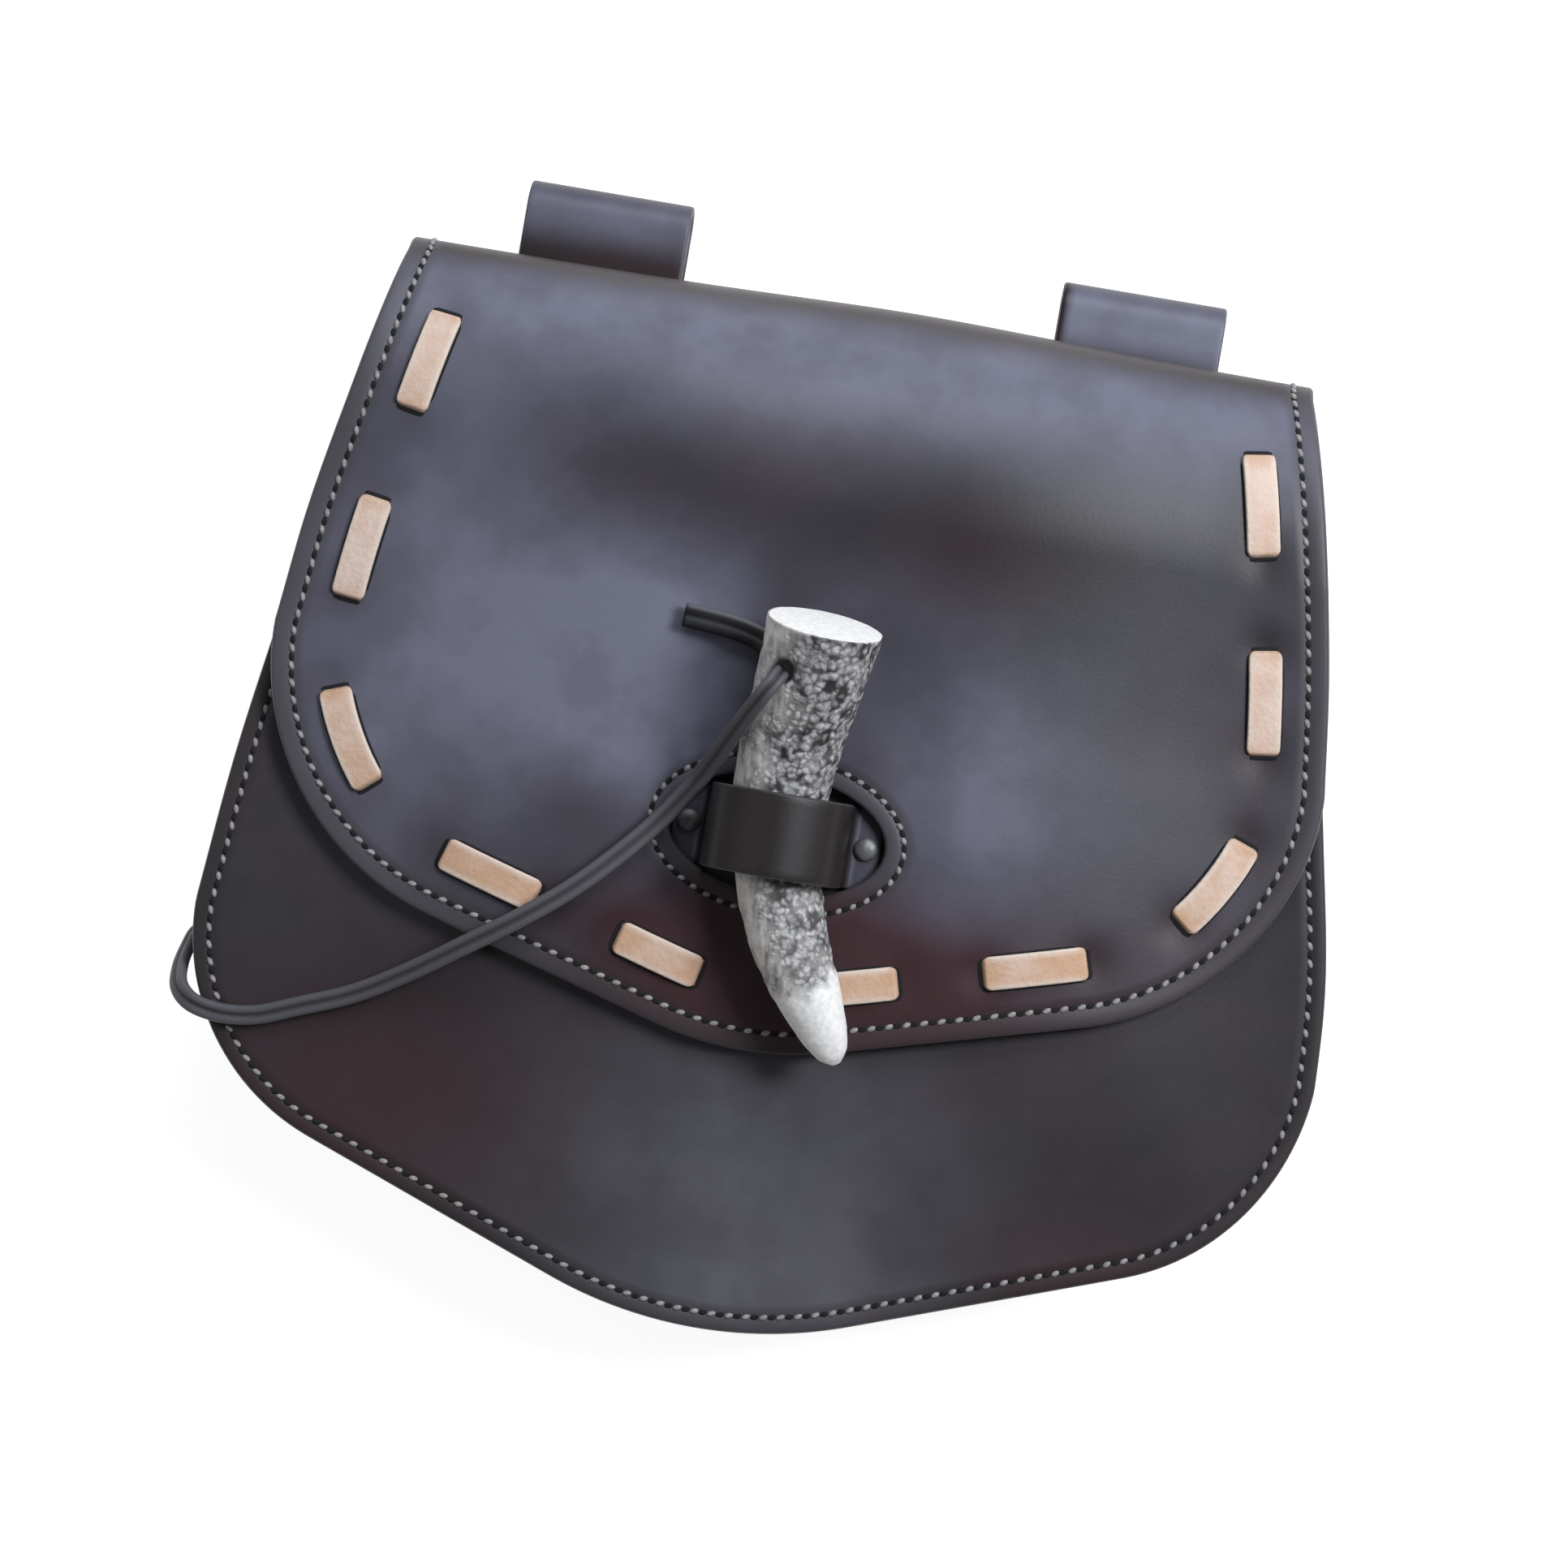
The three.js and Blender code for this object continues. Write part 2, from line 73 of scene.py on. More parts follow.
# Outlines: (down, half width) along the side, then the corner, the sloping bottom edge and the tip
BODY = {
    "side": ((0.0, 0.097), (0.040, 0.1062), (0.080, 0.1122), (0.115, 0.1172)),
    "wide": 0.1202,
    "corner": 0.049,
    "slope": math.radians(20.0),
    "apex": 0.2249,
    "tip": 0.095,
}
FLAP = {
    "side": ((0.0, 0.097), (0.030, 0.1042), (0.060, 0.110)),
    "wide": 0.113,
    "corner": 0.058,
    "slope": math.radians(15.5),
    "apex": 0.1611,
    "tip": 0.071,
}

# Heights of the front's seam, its dome, the gap under the flap and the back's lift, and where they rise
SEAM = 0.040
SEAM_RISE = 0.003
DOME = 0.009
DOME_FROM = 0.002
DOME_TO = 0.076
DOME_SOFTNESS = 0.008
FLAP_GAP = 0.0027
LIFT = 0.012
LIFT_FROM = 0.086
LIFT_TO = 0.006

# The roll over the top: where it meets flap and back, its outermost line and its lengths in the pattern
ROLL = {"front": 0.042, "back": 0.014, "top": -0.0015, "height": 0.026}
ROLL_BOW = {"across": 0.012, "rise": 0.0015, "half_width": 0.040}
ROLL_FRONT_LENGTH = 0.058
ROLL_BACK_LENGTH = 0.0234
ROLL_TOP_UP = ROLL_FRONT_LENGTH - ROLL["front"]
BACK_UP = ROLL_TOP_UP + ROLL_BACK_LENGTH

# Stray of the hand-cut right sides, as (outward, middle down, half length), and of the flap's left corner
STRAY = {
    "flap_right": (-0.0010, 0.048, 0.040),
    "front_upper": (-0.0017, 0.045, 0.038),
    "front_lower": (0.0018, 0.130, 0.026),
}
CORNER_STRAY = {"across": -0.0028, "up": (-0.045, 0.010)}
FLAP_OUTER = (0.05, 0.10)
FRONT_OUTER = (0.07, 0.115)
STRAY_FADE = 0.03

# Top edge of the front under the flap, width of the seams and bow of the gusset's wall
FRONT_TOP = 0.026
SEAM_WIDTH = 0.0063
GUSSET_BULGE = 0.002

# Straps of the belt loops: width, rise over the top edge and levels of the run behind the back
LOOP = {"width": 0.0362, "rise": 0.019, "run": (0.054, 0.040, 0.027, 0.014, 0.003)}

# Belt loops: (name, across, further out, paleness of its painted sheen, height where that starts, darkness
# of the right edge). The painted sheen stands in for reflected light on a loop's face; below that height it
# fades, which paints shade near the top edge.
LOOPS = (
    ("left", -0.0603, 0.0013, 0.70, 0.0145, 0.0),
    ("right", 0.0588, -0.0013, 0.96, 0.009, 1.0),
)

# The window, and the right half of the keeper in it from its foot to the top of its arch: (across, height)
WINDOW = {"down": 0.1123, "half_long": 0.0228, "half_tall": 0.0126}
KEEPER_WIDTH = 0.0176
KEEPER_LINE = (
    (0.022, 0.0009), (0.019, 0.0009), (0.0162, 0.0009), (0.0142, 0.0032),
    (0.014, 0.011), (0.0113, 0.0226), (0.0, 0.0276),
)

# Rivets, the lace's stitches and the depth of the groove that the thread lies in
RIVET = {"across": 0.0189, "radius": 0.0025, "height": 0.0015, "shank": 0.0014, "cap": 0.0009}
STITCH = {"pitch": 0.0414, "inset": 0.0136, "width": 0.0071, "straight": 0.35, "soft": (0.002, 0.008)}
GROOVE = 0.00025

# Length of each stitch of the lace, from the left to the right, and its shift along the line
STITCH_LENGTHS = (0.0226, 0.0226, 0.0226, 0.0226, 0.0194, 0.0210, 0.0226, 0.0226, 0.0226, 0.0226)
STITCH_SHIFTS = (-0.0022, -0.0014, 0.0, 0.0022, 0.0, 0.0, -0.0022, 0.0, 0.0010, 0.0014)

# Sections of the antler from its sawn end to its tip: (down, across, thickness, clearance over the flap)
ANTLER = (
    (0.0689, 0.0030, 0.0243, 0.0095), (0.0793, 0.0019, 0.0227, 0.0060), (0.0902, 0.0004, 0.0214, 0.0024),
    (0.1004, -0.0004, 0.0204, 0.0003), (0.1121, 0.0006, 0.0192, 0.0), (0.1228, 0.0026, 0.0180, 0.0003),
    (0.1348, 0.0072, 0.0165, 0.0012), (0.1440, 0.0125, 0.0136, 0.0030), (0.1517, 0.0172, 0.0097, 0.0050),
    (0.1550, 0.0192, 0.0066, 0.0064), (0.1568, 0.0203, 0.0024, 0.0082),
)
ANTLER_HOLE = {"across": -0.0041, "down": 0.0792, "radius": 0.0029}

# Route of the thong, as in the solids: (across, down, height); its root lies in the gusset's wall
THONG_ROUTE = (
    (-0.1182, 0.1524, 0.0270), (-0.1203, 0.1539, 0.0277), (-0.1214, 0.1576, 0.0304),
    (-0.1217, 0.1620, 0.0349), (-0.1205, 0.1659, 0.0394), (-0.1170, 0.1685, 0.0425),
    (-0.1113, 0.1697, 0.0429), (-0.1034, 0.1690, 0.0430), (-0.0940, 0.1654, 0.0439),
    (-0.0830, 0.1608, 0.0458), (-0.0720, 0.1542, 0.0496), (-0.0600, 0.1458, 0.0548),
    (-0.0500, 0.1386, 0.0574), (-0.0405, 0.1308, 0.0576), (-0.0315, 0.1216, 0.0572),
    (-0.0240, 0.1126, 0.0574), (-0.0184, 0.1044, 0.0610), (-0.0140, 0.0968, 0.0690),
    (-0.0100, 0.0896, 0.0776), (-0.0064, 0.0834, 0.0830), (-0.0043, 0.0798, 0.0816),
    (-0.0041, 0.0792, 0.0760), (-0.0041, 0.0792, 0.0680), (-0.0043, 0.0791, 0.0615),
    (-0.0060, 0.0762, 0.0578), (-0.0092, 0.0731, 0.0567), (-0.0140, 0.0715, 0.0567),
    (-0.0200, 0.0707, 0.0568), (-0.0268, 0.0702, 0.0569),
)
THONG_ROOT = (-0.1155, 0.1508, 0.0266)

TOP_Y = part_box("back_and_flap")[1].y + ROLL["top"]
UP = Vector((0.0, 0.0, 1.0))


# Soft patches of the panels' colour: (across, down, half width, half height, paler painted sheen, browner
# dye). The painted sheen is a bluish colour that stands in for the lights' reflection on the leather;
# patches with less of it paint darker places.
FLAP_PAINTED_SHEEN = 0.31
FLAP_PATCHES = (
    # Painted shade on the edge of the fold, which is also browner
    (0.0, -0.010, 0.300, 0.013, -0.55, 0.35),
    # Painted highlight: the band of reflected light below the fold
    (0.0, 0.013, 0.300, 0.014, 0.54, 0.0),
    (0.0, 0.006, 0.300, 0.006, 0.12, 0.0),
    (-0.085, 0.016, 0.050, 0.014, 0.12, 0.0),
    (-0.060, 0.078, 0.042, 0.034, 0.58, 0.0),
    (-0.033, 0.086, 0.020, 0.022, 0.76, 0.0),
    (-0.040, 0.112, 0.014, 0.009, -0.36, 0.0),
    (-0.084, 0.048, 0.015, 0.018, 0.28, 0.0),
    (-0.086, 0.106, 0.014, 0.020, 0.24, 0.0),
    (-0.042, 0.044, 0.026, 0.014, -0.18, 0.0),
    (0.040, 0.098, 0.017, 0.026, 0.44, 0.0),
    (0.068, 0.070, 0.034, 0.030, -0.13, 0.0),
    (0.040, 0.050, 0.022, 0.015, -0.09, 0.0),
    (0.060, 0.032, 0.040, 0.012, -0.12, 0.0),
    (0.002, 0.045, 0.072, 0.016, -0.21, 0.0),
    (0.008, 0.139, 0.044, 0.018, -0.50, 1.8),
    (0.060, 0.128, 0.030, 0.020, -0.08, 0.3),
    (0.100, 0.118, 0.024, 0.050, -0.06, 0.35),
    # Painted shadow of the antler on the flap, along its left side
    (-0.007, 0.084, 0.007, 0.022, -0.45, 0.0),
)
FRONT_PAINTED_SHEEN = 0.10
FRONT_PATCHES = (
    (0.006, 0.184, 0.042, 0.034, 0.45, 0.0),
    (0.013, 0.211, 0.040, 0.011, 0.20, 0.0),
    (-0.072, 0.180, 0.046, 0.026, -0.06, 0.9),
    (-0.105, 0.135, 0.020, 0.030, 0.04, 0.0),
    (0.076, 0.192, 0.026, 0.014, -0.04, 0.7),
)
# Painted shade round the ends of the lace's stitches: its radius and the painted sheen it takes away
PUCKER_SHADE = {"radius": 0.0075, "sheen": -0.17}
# Painted sheen taken away along the rings at the panels' edges and round the window
RIM_PAINTED_SHEEN = -0.14

# Waves of the panels, as (waves to a metre, seed, height), and the dent at the end of a lace stitch
FLAP_WAVES = (14.0, 3.1, 0.0005)
FRONT_WAVES = (13.0, 8.4, 0.0007)
DENT = {"depth": 0.0006, "radius": 0.0045, "reach": 0.02}
FLAP_RELIEF_FROM = (-0.005, 0.02)

# Camera: middle of its picture, how far aside it stands, and the height that it leans about
CAMERA = {"middle": (-0.0004, -0.0017), "aside": 0.022, "level": 0.050, "sensor_width": 36.0}

# Lights: (name, setting with its strength, place, width and height, colour), and the light all round
LIGHTS = (
    ("top_light", "key", (0.10, 0.95, 0.92), (0.9, 0.5), (0.86, 0.91, 1.0)),
    ("right_light", "side", (0.66, 0.42, 0.98), (0.4, 0.4), (0.91, 0.94, 1.0)),
    ("left_light", "fill", (-0.75, 0.0, 1.0), (0.8, 0.8), (0.90, 0.93, 1.0)),
)
ALL_ROUND = {"colour": (0.92, 0.95, 1.0, 1.0), "strength": 0.10}


# Shape helpers

def lerp(start, end, share):
    return start + (end - start) * share


def clamp(value, low=0.0, high=1.0):
    return min(max(value, low), high)


def smoothstep(value, low, high):
    share = clamp((value - low) / (high - low))
    return share * share * (3.0 - 2.0 * share)


def bump(distance, width):
    """Soft hump that is 1 at no distance."""
    return math.exp(-(distance / width) ** 2)


def spot(across, down, height):
    return Vector((across, TOP_Y - down, height))


def spline(points, steps):
    """Smooth line through the points, with that many steps to each stretch between them."""
    points = [Vector(point) for point in points]
    line = [2 * points[0] - points[1], *points, 2 * points[-1] - points[-2]]
    made = []
    for before, start, end, after in zip(line, line[1:], line[2:], line[3:]):
        first, span, last = [
            math.sqrt((b - a).length) for a, b in ((before, start), (start, end), (end, after))
        ]
        along = (end - start) / span
        leave = ((start - before) / first - (end - before) / (first + span) + along) * span
        reach = (along - (after - start) / (span + last) + (after - end) / last) * span
        bend = 3 * end - 3 * start - 2 * leave - reach
        curve = 2 * start - 2 * end + leave + reach
        for step in range(steps):
            t = step / steps
            made.append(start + leave * t + bend * t * t + curve * t ** 3)
    made.append(points[-1])
    return made


def evenly(points, count):
    """The same line with that many points at even distances."""
    reached = [0.0]
    for start, end in zip(points, points[1:]):
        reached.append(reached[-1] + (end - start).length)
    made = []
    index = 0
    for step in range(count):
        at = reached[-1] * step / (count - 1)
        while index < len(points) - 2 and reached[index + 1] < at:
            index += 1
        span = reached[index + 1] - reached[index]
        made.append(points[index].lerp(points[index + 1], (at - reached[index]) / span if span else 0.0))
    return made


def line_length(points):
    return sum((end - start).length for start, end in zip(points, points[1:]))


def steps_along(points):
    """Step from the point before to the point after, for each point of an open line."""
    last = len(points) - 1
    return [points[min(i + 1, last)] - points[max(i - 1, 0)] for i in range(last + 1)]


def left_of(step):
    """Direction to the left of a step in a flat pattern."""
    return Vector((-step.y, step.x)).normalized()


def inset_line(outline, inset):
    """Line that far inside a closed outline."""
    steps = [outline[(i + 1) % len(outline)] - outline[i - 1] for i in range(len(outline))]
    return [point + left_of(step) * inset for point, step in zip(outline, steps)]


def mirrored(points):
    return [Vector((-point.x, point.y)) for point in points]


def upturned(points):
    """The points (half width, down) as (across, up)."""
    return [Vector((point.x, -point.y)) for point in points]


def carried_frames(points, first_out, start):
    """(forward, aside, out) at each point, turned no more than the line turns, from one point both ways."""
    last = len(points) - 1
    forwards = [step.normalized() for step in steps_along(points)]
    outs = [None] * (last + 1)
    outs[start] = (first_out - forwards[start] * first_out.dot(forwards[start])).normalized()
    for order, step in ((range(start + 1, last + 1), -1), (range(start - 1, -1, -1), 1)):
        for i in order:
            turned = forwards[i + step].rotation_difference(forwards[i]) @ outs[i + step]
            outs[i] = (turned - forwards[i] * turned.dot(forwards[i])).normalized()
    return [(forward, out.cross(forward), out) for forward, out in zip(forwards, outs)]


# Outlines and surfaces of the pouch

def half_outline(shape):
    """Right half of an outline as (half width, down): its side and its bottom, which meet in the corner."""
    lean = shape["slope"]
    turn = math.pi / 2 - lean
    steps = 16
    wide, corner, tip = shape["wide"], shape["corner"], shape["tip"]
    corner_down = shape["apex"] - wide * math.tan(lean) - corner * math.tan(turn / 2)
    tip_centre = shape["apex"] - tip / math.cos(lean)

    def arc(across, down, radius, start, end):
        angles = [lerp(start, end, step / steps) for step in range(steps + 1)]
        return [Vector((across + radius * math.cos(a), down + radius * math.sin(a))) for a in angles]

    side = spline([(half, down) for down, half in (*shape["side"], (corner_down, wide))], steps)
    side += arc(wide - corner, corner_down, corner, 0.0, turn / 2)[1:]
    bottom = arc(wide - corner, corner_down, corner, turn / 2, turn)
    bottom += arc(0.0, tip_centre, tip, turn, math.pi / 2)
    return side, bottom


BODY_SIDE, BODY_BOTTOM = half_outline(BODY)
FLAP_SIDE, FLAP_BOTTOM = half_outline(FLAP)


def half_at(side, down):
    """Half width of an outline's side that far down."""
    for start, end in zip(side, side[1:]):
        if end.y >= down:
            return lerp(start.x, end.x, clamp((down - start.y) / (end.y - start.y)))
    return side[-1].x


def back_lift(down):
    return LIFT * (1.0 - smoothstep(down, LIFT_TO, LIFT_FROM))


def inside_distance(across, down):
    """Soft distance inside the body's straight sides and its two bottom edges."""
    lean = BODY["slope"]
    top_half = BODY["side"][0][1]
    side = math.atan2(BODY["wide"] - top_half, BODY["apex"] - BODY["wide"] * math.tan(lean))
    total = 0.0
    for x in (across, -across):
        from_side = (top_half - x) * math.cos(side) + down * math.sin(side)
        from_bottom = (BODY["apex"] - down) * math.cos(lean) - x * math.sin(lean)
        total += math.exp(-from_side / DOME_SOFTNESS) + math.exp(-from_bottom / DOME_SOFTNESS)
    return -DOME_SOFTNESS * math.log(total)


def roll_share(down):
    reach = clamp((ROLL["front"] - down) / (ROLL["front"] - ROLL["top"]))
    return math.sqrt(1.0 - reach * reach)


def front_top(across, down):
    dome = DOME * smoothstep(inside_distance(across, down), DOME_FROM, DOME_TO)
    flat = SEAM + SEAM_RISE * back_lift(down) / LIFT + dome
    return ROLL["height"] + (flat - ROLL["height"]) * roll_share(down)


def flap_top(across, down):
    front = front_top(across, max(down, ROLL["front"]))
    return ROLL["height"] + (front + FLAP_GAP + LEATHER - ROLL["height"]) * roll_share(down)


def flap_up(down):
    """Place along the flap's pattern of a level on the flap or on the front of the roll."""
    if down >= ROLL["front"]:
        return -down
    angle = math.asin(clamp((ROLL["front"] - down) / (ROLL["front"] - ROLL["top"])))
    return -ROLL["front"] + ROLL_FRONT_LENGTH * angle / (math.pi / 2)


def wrapped(across, up):
    """Outer face of the back and flap piece, from the flap's tip over the roll to the back's tip."""
    quarter = math.pi / 2
    bow = ROLL_BOW["rise"] * bump(across - ROLL_BOW["across"], ROLL_BOW["half_width"])
    across += flap_unevenness(across, up)
    if up <= -ROLL["front"]:
        return spot(across, -up, flap_top(across, -up))
    if up <= ROLL_TOP_UP:
        angle = quarter * (up + ROLL["front"]) / ROLL_FRONT_LENGTH
        down = lerp(ROLL["front"], ROLL["top"], math.sin(angle))
        return spot(across, down - bow * math.sin(angle) ** 4, flap_top(across, down))
    if up <= BACK_UP:
        angle = quarter * (up - ROLL_TOP_UP) / ROLL_BACK_LENGTH
        down = lerp(ROLL["back"], ROLL["top"], math.cos(angle))
        height = lerp(ROLL["height"], back_lift(ROLL["back"]), math.sin(angle))
        return spot(across, down - bow * math.cos(angle) ** 4, height)
    down = ROLL["back"] + up - BACK_UP
    return spot(across, down, back_lift(down))


def stray(name, up):
    """How far a right side strays at a place along its pattern."""
    outward_by, middle, half_length = STRAY[name]
    return outward_by * bump(up + middle, half_length)


def flap_unevenness(across, up):
    """How far the hand-cut flap's sides stray: out at the top left corner, in along the right side."""
    left = smoothstep(-across, *FLAP_OUTER) * smoothstep(up, *CORNER_STRAY["up"])
    right = smoothstep(across, *FLAP_OUTER) * stray("flap_right", up)
    fade = 1.0 - smoothstep(up, BACK_UP, BACK_UP + STRAY_FADE)
    return fade * (CORNER_STRAY["across"] * left + right)


def front_face(across, up):
    """Outer face of the front panel, whose right side strays in under the flap and out below it."""
    side = smoothstep(across, *FRONT_OUTER) * (stray("front_upper", up) + stray("front_lower", up))
    return spot(across + side, -up, front_top(across, -up))


def outward(surface, across, up):
    """Direction out of a surface that is given over its flat pattern."""
    reach = 0.0004
    right = surface(across + reach, up) - surface(across - reach, up)
    rise = surface(across, up + reach) - surface(across, up - reach)
    return right.cross(rise).normalized()


def window_edge(angle, outside):
    """(across, up) at an angle round the flap's window, that far outside its edge."""
    across = (WINDOW["half_long"] + outside) * math.cos(angle)
    return Vector((across, (WINDOW["half_tall"] + outside) * math.sin(angle) - WINDOW["down"]))


def looped(bottom, right, top, columns, rows):
    """Closed outline, from its lower left corner, out of the right half of a pattern's edge."""
    right_half = evenly(bottom, columns + 1)[:-1] + evenly(right, rows + 1)[:-1] + evenly(top, columns + 1)
    around = right_half + mirrored(right_half[1:-1])[::-1]
    start = len(around) - columns
    return around[start:] + around[:start]


# Line of the lace, and the relief of the panels

def lace_line():
    """Line of the lace on the flap, from the left to the right, as (across, down)."""
    steps = 400
    half = evenly([*FLAP_SIDE, *FLAP_BOTTOM[1:]], steps)
    right = [point + left_of(step) * STITCH["inset"] for point, step in zip(half, steps_along(half))]
    return mirrored(right[:-1]) + right[::-1]


def on_curve(along):
    """(across, down) on the lace's smooth line at a distance from its middle."""
    share = clamp(along / LACE_LENGTH + 0.5) * (len(LACE_EVEN) - 1)
    index = min(int(share), len(LACE_EVEN) - 2)
    return LACE_EVEN[index].lerp(LACE_EVEN[index + 1], share - index)


def on_lace_line(along):
    """(across, up) on the lace's line at a distance from its middle."""
    point = on_curve(along)
    centre, half = min(STITCHES, key=lambda stitch: abs(stitch[0] - along))
    beyond = abs(along - centre) - half
    start = on_curve(centre - half)
    chord = start + (on_curve(centre + half) - start) * ((along - centre + half) / (2 * half))
    point = point.lerp(chord, STITCH["straight"] * (1.0 - smoothstep(beyond, *STITCH["soft"])))
    return Vector((point.x, flap_up(point.y)))


LACE_LINE = lace_line()
LACE_LENGTH = line_length(LACE_LINE)
LACE_FINE = 1500
LACE_EVEN = evenly(LACE_LINE, LACE_FINE)
STITCHES = [
    ((i - (len(STITCH_LENGTHS) - 1) / 2) * STITCH["pitch"] + shift, length / 2)
    for i, (length, shift) in enumerate(zip(STITCH_LENGTHS, STITCH_SHIFTS))
]
STITCH_ENDS = [on_lace_line(centre + side * half) for centre, half in STITCHES for side in (-1, 1)]


def waves(across, up, scale, seed, height):
    return height * noise.noise(Vector((across * scale, up * scale, seed)))


def flap_relief(across, up):
    """Small rises and dents of the flap: the pull of the lace and the leather's own waves."""
    relief = waves(across, up, *FLAP_WAVES)
    for end in STITCH_ENDS:
        away = (Vector((across, up)) - end).length
        if away < DENT["reach"]:
            relief -= DENT["depth"] * bump(away, DENT["radius"])
    return relief * smoothstep(-up, *FLAP_RELIEF_FROM)


def front_relief(across, up):
    """The front's own waves."""
    return waves(across, up, *FRONT_WAVES)


def seam_frame(surface, relief, flat, forward):
    """Point on a panel's face at a place of its pattern, and its directions out of it and along a line."""
    normal = outward(surface, *flat)
    forward = (forward - normal * forward.dot(normal)).normalized()
    return surface(*flat) + normal * relief(*flat), normal, forward


def lace_frame(along):
    """Point on the flap under the lace, the direction out of the leather and the lace's own direction."""
    reach = 0.0005
    forward = wrapped(*on_lace_line(along + reach)) - wrapped(*on_lace_line(along - reach))
    return seam_frame(wrapped, flap_relief, on_lace_line(along), forward)


# Mesh helpers

def new_object(bm, name, material):
    mesh = bpy.data.meshes.new(name)
    bm.to_mesh(mesh)
    bm.free()
    mesh.materials.append(material)
    made = bpy.data.objects.new(name, mesh)
    bpy.context.scene.collection.objects.link(made)
    return made


def finish_piece(bm, name, material, slot, *nodes):
    """Turns the shape into a named object that rides on the pouch and stands for its solids."""
    for face in bm.faces:
        face.smooth = True
    piece = new_object(bm, name, material)
    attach(piece, BODY_NAME)
    if nodes:
        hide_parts(*nodes)
    return piece


def edge_profile(thickness, seam, wear=1.0):
    """(distance from the edge, depth, wear) of the rings along a cut edge, with a groove for the thread."""
    round_over = 0.0010
    round_steps = 4
    half_groove = 0.0008
    flat_from, flat_wear = 0.0018, 0.55
    groove_wear = 0.42
    past_seam = 0.0025
    wear_step = 0.12
    rings = []
    for step in range(round_steps + 1):
        angle = math.pi / 2 * step / round_steps
        inset = round_over * (1.0 - math.cos(angle))
        rings.append((inset, thickness / 2 * (1.0 - math.sin(angle)), wear * (1.0 - wear_step * step)))
    rings.append((flat_from, 0.0, flat_wear * wear))
    for shift, depth in ((-1.0, 0.0), (-0.5, 0.7), (0.0, 1.0), (0.5, 0.7), (1.0, 0.0)):
        rings.append((seam + shift * half_groove, depth * GROOVE, groove_wear * wear))
    rings.append((seam + past_seam, 0.0, 0.0))
    return rings


def of_kind(items, kind):
    return [item for item in items if isinstance(item, kind)]


def next_ring(bm, edges):
    """Vertices and edges of a new ring, extruded from a ring of edges."""
    made = bmesh.ops.extrude_edge_only(bm, edges=edges)["geom"]
    ring = of_kind(made, bmesh.types.BMVert)
    fresh = set(ring)
    return ring, [edge for edge in of_kind(made, bmesh.types.BMEdge) if fresh.issuperset(edge.verts)]


def cut_panel(outline, columns, rows, profile):
    """Flat skin of a leather panel: rings along its outline, filled by a grid of columns and rows."""
    bm = bmesh.new()
    place = bm.verts.layers.int.new("place")
    depth, wear, rim = [bm.verts.layers.float.new(name) for name in ("depth", "wear", "rim")]
    ring = bmesh.ops.create_circle(bm, cap_ends=False, radius=1.0, segments=len(outline))["verts"]
    for i, vert in enumerate(ring):
        vert[place] = i
    edges = bm.edges[:]
    for step, (inset, ring_depth, ring_wear) in enumerate(profile):
        if step:
            ring, edges = next_ring(bm, edges)
        line = inset_line(outline, inset)
        for vert in ring:
            vert.co = (*line[vert[place]], 0.0)
            vert[depth] = ring_depth
            vert[wear] = ring_wear
            vert[rim] = 1.0 if step < len(profile) - 1 else 0.0

    def on_rail(edge):
        first, second = sorted(vert[place] for vert in edge.verts)
        start = second if second - first > 1 else first
        return columns <= start < columns + rows or start >= 2 * columns + rows

    bmesh.ops.grid_fill(bm, edges=[edge for edge in edges if on_rail(edge)])
    return bm


def cut_window(bm, profile):
    """Cuts the flap's oval window, with rings along its edge."""
    depth, wear, rim = [bm.verts.layers.float[name] for name in ("depth", "wear", "rim")]
    turn = bm.verts.layers.float.new("turn")
    margin = profile[-1][0]

    def ring_angle(vert):
        x = vert.co.x / (WINDOW["half_long"] + margin)
        y = (vert.co.y + WINDOW["down"]) / (WINDOW["half_tall"] + margin)
        return math.hypot(x, y), math.atan2(y, x)

    cut = [face for face in bm.faces if any(ring_angle(vert)[0] < 1.0 for vert in face.verts)]
    inside = {edge for face in cut for edge in face.edges}
    bmesh.ops.delete(bm, geom=cut, context="FACES_ONLY")
    edges = [edge for edge in bm.edges if edge in inside and edge.link_faces]
    bmesh.ops.delete(bm, geom=[edge for edge in inside if not edge.link_faces], context="EDGES")
    ring = {vert for edge in edges for vert in edge.verts}
    for vert in ring:
        vert[turn] = ring_angle(vert)[1]
    for step, (inset, ring_depth, ring_wear) in enumerate(reversed(profile)):
        if step:
            ring, edges = next_ring(bm, edges)
        for vert in ring:
            vert.co = (*window_edge(vert[turn], inset), 0.0)
            vert[depth] = ring_depth
            vert[wear] = ring_wear
            vert[rim] = 1.0 if step else 0.0


